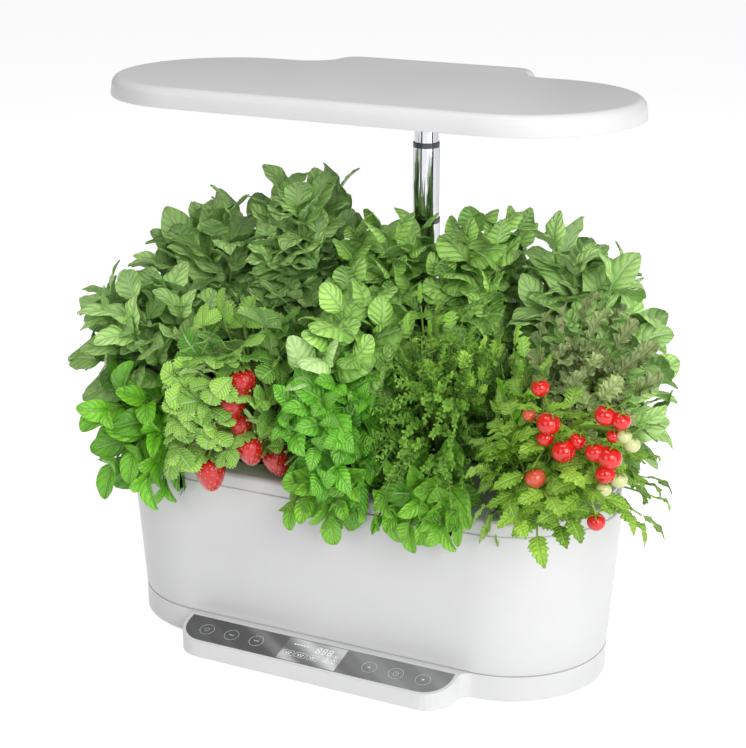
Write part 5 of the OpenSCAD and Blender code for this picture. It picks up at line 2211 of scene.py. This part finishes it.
@dataclass
class Post:
    """Three-stage chrome post with its dark collars.

    Attributes:
        y: Distance from the middle back to the post.
    """

    y: float = POST_AT[1]

    def make(self) -> None:
        """Draws tubes and collars as turned rings with small rounded ends."""
        tubes = (
            ("lower_tube", "base", 0.012, 0.0113, 0.009, 0.329, CHROME, "chrome_tube"),
            ("lower_collar", "base", 0.0122, 0.0113, 0.329, 0.333, COLLAR, "dark_collar"),
            ("middle_tube", "middle_post", 0.0112, 0.0105, 0.193, 0.393, CHROME, "chrome_tube"),
            ("middle_collar", "middle_post", 0.0112, 0.0101, 0.393, 0.397, COLLAR, "dark_collar"),
            ("upper_tube", "lamp", 0.010, 0.0093, 0.27525, 0.45525, CHROME, "chrome_tube"),
        )
        for node, body, outer, inner, low, high, finish, slot in tubes:
            build(f"{node}_turned", self.ring(outer, inner, low, high), body, finish, (node,))
        dress(("post_socket",), WHITE)

    def ring(self, outer: float, inner: float, low: float, high: float) -> Skin:
        """Turns a wall about the post: up its outside, over a small round, down its inside and back.

        Args:
            outer: Outer radius.
            inner: Inner radius.
            low: Height of the lower end.
            high: Height of the upper end.

        Returns:
            The closed ring.
        """
        r = 0.00025
        wall = [(outer - r, low), (outer, low + r)]
        wall += [(outer, z) for z in np.linspace(low + r, high - r, 4)[1:]]
        wall += [(outer - r, high), (inner + r, high), (inner, high - r)]
        wall += [(inner, z) for z in np.linspace(high - r, low + r, 4)[1:]]
        wall += [(inner + r, low)]
        angle = np.arange(96) * TURN / 96
        rows = np.array(wall)
        x, y = rows[:, :1] * np.cos(angle), rows[:, :1] * np.sin(angle) + self.y
        rings = np.stack([x, y, np.broadcast_to(rows[:, 1:], x.shape)], axis=-1)
        return loft(rings, flat_ends=False)


# Heights between which print lies over the panel, in metres.
PRINTED = (0.00001, 0.00006)


class Mark(Enum):
    """Common signs in the rings of the touch keys. A line of dots stands where a word would be."""

    POWER = "power"
    LINE = "line"
    UP = "up"
    CLOCK = "clock"
    DOWN = "down"


@dataclass
class Base:
    """Base with its touch panel, display and electric pieces.

    Attributes:
        slope: Slope of the panel in degrees.
        edge_y: Where the panel's upper edge lies.
        edge_z: Its height.
        length: Length of the panel down the slope.
        keys: Distances of the keys from the middle.
        ring: Outer radius of the rings around the keys.
    """

    slope: float = 13.5
    edge_y: float = -0.087
    edge_z: float = 0.022
    length: float = 0.02837
    keys: tuple[float, float, float] = (0.0512, 0.0745, 0.0978)
    ring: float = 0.00625

    def make(self) -> None:
        """Dresses the construction pieces and prints panel and display."""
        dress(("base_housing",), WHITE)
        dress(("bottom_cover",), WHITE_INNER)
        dress(("rubber_feet",), RUBBER)
        dress(("cover_screws",), STEEL)
        dress(("control_panel",), SmokedPanelPaintedReflection())
        dress(("display_module", "power_inlet"), BLACK)
        dress(("control_board",), GREEN_BOARD)
        dress(("touch_springs",), COPPER)
        build("panel_print", self.on_slope(self.keys_print()), "base", Print())
        field = [plate(self.round_box(0.0, 0.0, 0.0524, self.length - 0.0016, 0.0006), 0.000004, 0.00001)]
        # The display field is paler than the panel; over that its colour carries a painted reflection,
        # running from grey to near white along a slant with strong slanted stripes of light.
        display_painted_reflection = SmokedPanelPaintedReflection("display field painted reflection", srgb(96, 96, 98), srgb(226, 226, 228), 0.04, 0.8)
        build("display_field", self.on_slope(field), "base", display_painted_reflection)
        lit = Print("display print", srgb(238, 240, 242), srgb(214, 218, 222), 0.35)
        build("display_print", self.on_slope(self.display_print()), "base", lit)

    def on_slope(self, parts: list[Skin]) -> Skin:
        """Lays flat parts on the panel: their +Y goes up the slope and +Z out of it.

        Args:
            parts: Parts drawn about the panel's middle.

        Returns:
            One skin in its place.
        """
        lean = math.radians(self.slope)
        up, out = math.cos(lean), math.sin(lean)
        axes = np.array([[1, 0, 0], [0, up, out], [0, -out, up]])
        middle = np.array([0, self.edge_y, self.edge_z]) - axes[1] * self.length / 2
        return lay(parts).moved(middle, axes)

    @staticmethod
    def round_box(x: float, y: float, width: float, height: float, radius: float) -> np.ndarray:
        """Outline of a box with rounded corners about a point.

        Args:
            x: Its middle across.
            y: Its middle up.
            width: Its width.
            height: Its height.
            radius: Radius of its corners.

        Returns:
            The corners of the outline.
        """
        w, h = width / 2 - radius, height / 2 - radius
        corners = (
            Bend(x + w, y - h, radius, -90, 0), Bend(x + w, y + h, radius, 0, 90),
            Bend(x - w, y + h, radius, 90, 180), Bend(x - w, y - h, radius, 180, 270)
        )
        return Outline(corners, 5).points

    def frame_of(self, x: float, y: float, width: float, height: float) -> Skin:
        """A thin box line: the outline drawn twice, one line's width apart, at two heights.

        Args:
            x: Its middle across.
            y: Its middle up.
            width: Its width.
            height: Its height.

        Returns:
            The closed line.
        """
        line = 0.00022
        outer = self.round_box(x, y, width, height, 0.0011)
        inner = np.array([x, y]) + (outer - [x, y]) * [1 - 2 * line / width, 1 - 2 * line / height]
        low, high = PRINTED
        pairs = ((outer, low), (outer, high), (inner, high), (inner, low))
        rings = np.stack([np.column_stack([p, np.full(len(p), z)]) for p, z in pairs])
        return loft(rings, flat_ends=False)

    def bar(self, x: float, y: float, width: float, height: float) -> Skin:
        """A solid printed bar with rounded corners."""
        return plate(self.round_box(x, y, width, height, min(width, height) * 0.35), *PRINTED)

    def ring_of(
        self, x: float, y: float, radius: float, line: float, start: float = 0.0, sweep: float = 360.0
    ) -> Skin:
        """A printed ring, or an arc of one, between two radii and two heights.

        Args:
            x: Its middle across.
            y: Its middle up.
            radius: Its outer radius.
            line: Width of the line.
            start: Angle where an arc starts, in degrees.
            sweep: Angle that it runs through.

        Returns:
            The closed line.
        """
        count = 64
        closed = sweep >= 360
        share = np.arange(count) / count if closed else np.linspace(0, 1, count)
        angle = np.radians(start + sweep * share)
        low, high = PRINTED
        rows = np.array([(radius, low), (radius, high), (radius - line, high), (radius - line, low)])
        x_all = x + rows[:, :1] * np.cos(angle)
        y_all = y + rows[:, :1] * np.sin(angle)
        rings = np.stack([x_all, y_all, np.broadcast_to(rows[:, 1:], x_all.shape)], axis=-1)
        if closed:
            return loft(rings, flat_ends=False)
        return loft(rings.transpose(1, 0, 2))

    def sign(self, mark: Mark, x: float, y: float) -> list[Skin]:
        """Draws the sign of a key about a point.

        Args:
            mark: Which sign.
            x: Its middle across the panel.
            y: Its middle up the slope.

        Returns:
            Its strokes.
        """
        line = 0.00032
        if mark is Mark.POWER:
            return [self.ring_of(x, y, 0.0021, line, 125, 290), self.bar(x, y + 0.0014, line, 0.0022)]
        if mark is Mark.CLOCK:
            hands = [self.bar(x, y + 0.0008, line, 0.0016), self.bar(x + 0.0006, y, 0.0014, line)]
            return [self.ring_of(x, y, 0.0024, line)] + hands
        if mark in (Mark.UP, Mark.DOWN):
            way = 1 if mark is Mark.UP else -1
            corners = np.array([[-0.0015, -0.001], [0.0015, -0.001], [0, 0.0015]])
            points = np.array([x, y]) + corners * way
            return [plate(points, *PRINTED)]
        return [self.bar(x + 0.0015 * i, y, 0.0011, 0.0011) for i in (-1, 0, 1)]

    def keys_print(self) -> list[Skin]:
        """Prints a ring with its sign on each of the six keys.

        Returns:
            The printed parts.
        """
        marks = (Mark.POWER, Mark.LINE, Mark.LINE, Mark.UP, Mark.CLOCK, Mark.DOWN)
        places = [-x for x in reversed(self.keys)] + list(self.keys)
        parts: list[Skin] = []
        for mark, x in zip(marks, places):
            parts.append(self.ring_of(x, 0.0, self.ring, 0.0003))
            parts += self.sign(mark, x, 0.0)
        return parts

    def digit(self, x: float, y: float, height: float) -> list[Skin]:
        """One figure eight of seven strokes that lean a little.

        Args:
            x: Its middle across.
            y: Its middle up.
            height: Its height.

        Returns:
            Its strokes.
        """
        w, h, t = height * 0.46, height / 2, height * 0.13
        flat = [self.bar(x + lean, y + dy, w * 0.78, t) for dy, lean in ((h, 0.0004), (0, 0), (-h, -0.0004))]
        sides = [(sx, sy) for sx in (-1, 1) for sy in (-1, 1)]
        upright = [self.bar(x + sx * w / 2 + sy * 0.0002, y + sy * h / 2, t, h * 0.80) for sx, sy in sides]
        return flat + upright

    def display_print(self) -> list[Skin]:
        """Prints figures, plain bars where words would be, and the boxes of the display.

        Returns:
            The printed parts.
        """
        parts = [self.bar(-0.0185 + 0.0028 * i, 0.0068, 0.0022, 0.0011) for i in range(5)]
        for i in range(3):
            parts += self.digit(0.0036 + 0.0052 * i, 0.0052, 0.0062)
        for i in range(3):
            x = -0.0192 + 0.0110 * i
            parts += [self.frame_of(x, -0.0046, 0.0096, 0.0058)]
            parts += [self.bar(x - 0.0022 + 0.0022 * k, -0.0040, 0.0016, 0.0008) for k in range(3)]
            parts += [self.bar(x - 0.0011 + 0.0022 * k, -0.0056, 0.0016, 0.0008) for k in range(2)]
        for row in range(3):
            for column in range(2):
                x, y = 0.0150 + 0.0056 * column, 0.0020 - 0.0036 * row
                parts += [self.frame_of(x, y, 0.0050, 0.0030), self.bar(x, y, 0.0020, 0.0008)]
        return parts


@dataclass
class Pods:
    """Ten baskets with the growing sponges in them.

    Attributes:
        rim: Height of the lid's top.
        radius: Radius of the sponge at the rim.
        depth: Depth of the sponge.
    """

    rim: float = 0.154
    radius: float = 0.0152
    depth: float = 0.0400

    def make(self) -> None:
        """Dresses the baskets and draws each sponge crowned, with a dent round the stem."""
        for pod in range(1, 11):
            dress((f"pod_basket_{pod}",), BLACK)
            x, y = foot(pod)
            chance = np.random.default_rng(40 + pod)
            down = [(self.radius - 0.0037 * s, -self.depth * s) for s in np.linspace(0.06, 0.97, 9)]
            profile = [(0, -0.0022), (0.0026, -0.0020), (0.0042, -0.0004), (0.009, 0.0001)]
            profile += [(0.0132, -0.0004), (0.0146, -0.0013)] + down
            profile += [(self.radius - 0.0048, -self.depth + 0.0002), (0, -self.depth)]
            skin = turned(np.array(profile), 40)
            swell = chance.normal(0, 1, (6, 3)) * 260
            bumps = sum(np.sin(skin.points @ wave + chance.uniform(0, TURN)) for wave in swell) / 6
            skin.points += unit(skin.points * [1, 1, 0.2]) * np.minimum(bumps, 0)[:, None] * 0.0006
            skin = skin.moved(np.array([x, y, self.rim]))
            build(f"sponge_{pod}", skin, f"pod_{pod}", Peat(), (f"grow_sponge_{pod}",))


# ---------------------------------------------------------------- studio


@dataclass
class Studio:
    """Floor, soft lamps, daylight and camera.

    Attributes:
        eye: Where the camera stands.
        aim: What it looks at.
        lens: Its focal length in millimetres on a 36 mm sensor.
        shift: Its small shift across and up.
    """

    eye: tuple[float, float, float] = (0.62334, -1.23324, 0.67057)
    aim: tuple[float, float, float] = (0.0, 0.0, 0.2325)
    lens: float = 86.18
    shift: tuple[float, float] = (0.0055, -0.013)

    def make(self) -> None:
        """Builds the studio."""
        self.camera()
        self.floor()
        self.daylight(0.31)
        self.softbox("key_box", (1.5, -1.3, 1.15), (0.05, 0.0, 0.2), (1.0, 1.2), 21.0)
        self.softbox("side_box", (1.9, -0.25, 0.55), (0.1, 0.0, 0.2), (0.9, 1.1), 10.0)
        self.softbox("front_box", (-0.3, -2.1, 1.0), (0.0, 0.0, 0.2), (1.2, 1.2), 9.0)
        self.softbox("top_box", (0.0, -0.3, 2.1), (0.0, 0.0, 0.2), (1.4, 1.0), 11.0)
        for name, bearing in (("right_card", 62.0), ("left_card", -48.0), ("back_card", 160.0)):
            self.dark_card(name, bearing)
        bpy.context.scene.view_settings.view_transform = "Standard"

    def camera(self) -> None:
        """Sets up the camera without depth of field."""
        data = bpy.data.cameras.new("camera")
        data.lens, data.sensor_width = self.lens, 36.0
        data.shift_x, data.shift_y = self.shift
        data.clip_start, data.clip_end = 0.05, 50.0
        piece = bpy.data.objects.new("camera", data)
        piece.location = self.eye
        piece.rotation_euler = (Vector(self.aim) - Vector(self.eye)).to_track_quat("-Z", "Y").to_euler()
        bpy.context.scene.collection.objects.link(piece)
        bpy.context.scene.camera = piece

    def floor(self) -> None:
        """Lays a pale floor that runs out of sight, near white to the camera, with its shadows kept."""
        recipe = Recipe("studio floor")
        grain = recipe.noise(6.0, 2.0)
        shade = recipe.mix(grain, srgb(236, 236, 236), srgb(232, 232, 232))
        recipe.done(Base_Color=shade, Roughness=0.9, Specular_IOR_Level=0.1)
        path = recipe.node("ShaderNodeLightPath")
        seen = recipe.math("MAXIMUM", path.outputs["Is Camera Ray"], path.outputs["Is Glossy Ray"])
        seen = recipe.math("MAXIMUM", seen, path.outputs["Is Transmission Ray"])
        strength = recipe.math("MULTIPLY", seen, 0.68)
        glow = recipe.node("ShaderNodeEmission", {"Color": (1, 1, 1, 1), "Strength": strength})
        both = recipe.node("ShaderNodeAddShader", {0: recipe.shader.outputs[0], 1: glow.outputs[0]})
        recipe.put(recipe.output.inputs["Surface"], both.outputs[0])
        mesh = bpy.data.meshes.new("studio_floor")
        mesh.from_pydata([(-8, -8, 0), (8, -8, 0), (8, 8, 0), (-8, 8, 0)], [], [(0, 1, 2, 3)])
        mesh.materials.append(recipe.material)
        piece = bpy.data.objects.new("studio_floor", mesh)
        bpy.context.scene.collection.objects.link(piece)

    def dark_card(self, name: str, bearing: float) -> None:
        """Stands a tall dark card round the object, which only shows in polished metal.

        Args:
            name: Its name.
            bearing: Its direction from the post in degrees, to the right of the camera's.
        """
        recipe = Recipe(name)
        shade = recipe.mix(recipe.noise(3.0), srgb(20, 20, 22), srgb(34, 34, 36))
        recipe.done(Base_Color=shade, Roughness=0.9)
        turn = math.radians(26.8 + bearing)
        middle = Vector((1.2 * math.sin(turn), -1.2 * math.cos(turn), 0.5))
        side = Vector((math.cos(turn), math.sin(turn), 0.0)) * 0.16
        tall = Vector((0.0, 0.0, 0.6))
        corners = [middle - side - tall, middle + side - tall, middle + side + tall, middle - side + tall]
        mesh = bpy.data.meshes.new(name)
        mesh.from_pydata(corners, [], [(0, 1, 2, 3)])
        mesh.materials.append(recipe.material)
        piece = bpy.data.objects.new(name, mesh)
        piece.visible_camera = False
        piece.visible_diffuse = False
        piece.visible_shadow = False
        piece.visible_transmission = False
        bpy.context.scene.collection.objects.link(piece)

    def daylight(self, level: float) -> None:
        """Fills the room with even light. The camera and glass see it white.

        Args:
            level: Strength of the light on the object.
        """
        world = bpy.data.worlds.new("room")
        bpy.context.scene.world = world
        world.use_nodes = True
        tree = world.node_tree
        path = tree.nodes.new("ShaderNodeLightPath")
        most = tree.nodes.new("ShaderNodeMath")
        most.operation = "MAXIMUM"
        tree.links.new(path.outputs["Is Camera Ray"], most.inputs[0])
        tree.links.new(path.outputs["Is Transmission Ray"], most.inputs[1])
        span = tree.nodes.new("ShaderNodeMapRange")
        span.inputs["To Min"].default_value = level
        tree.links.new(most.outputs[0], span.inputs["Value"])
        tree.links.new(span.outputs[0], tree.nodes["Background"].inputs["Strength"])
        tree.nodes["Background"].inputs["Color"].default_value = (1, 1, 1, 1)

    def softbox(
        self, name: str, at: tuple[float, float, float], aim: tuple[float, float, float],
        size: tuple[float, float], power: float
    ) -> None:
        """Hangs a soft lamp.

        Args:
            name: Its name.
            at: Where it hangs.
            aim: What it points at.
            size: Its width and height.
            power: Its power in watts.
        """
        data = bpy.data.lights.new(name, "AREA")
        data.shape, data.size, data.size_y, data.energy = "RECTANGLE", size[0], size[1], power
        piece = bpy.data.objects.new(name, data)
        piece.location = at
        piece.rotation_euler = (Vector(aim) - Vector(at)).to_track_quat("-Z", "Y").to_euler()
        bpy.context.scene.collection.objects.link(piece)


def main() -> None:
    """Builds the garden from the base up, then the studio."""
    logging.basicConfig(level=logging.INFO, format="%(name)s: %(message)s")
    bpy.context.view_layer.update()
    for part in (Base(), Tank(), Pump(), Post(), Lamp(), Pods(), Garden(), Studio()):
        part.make()


if __name__ == "__main__":
    main()
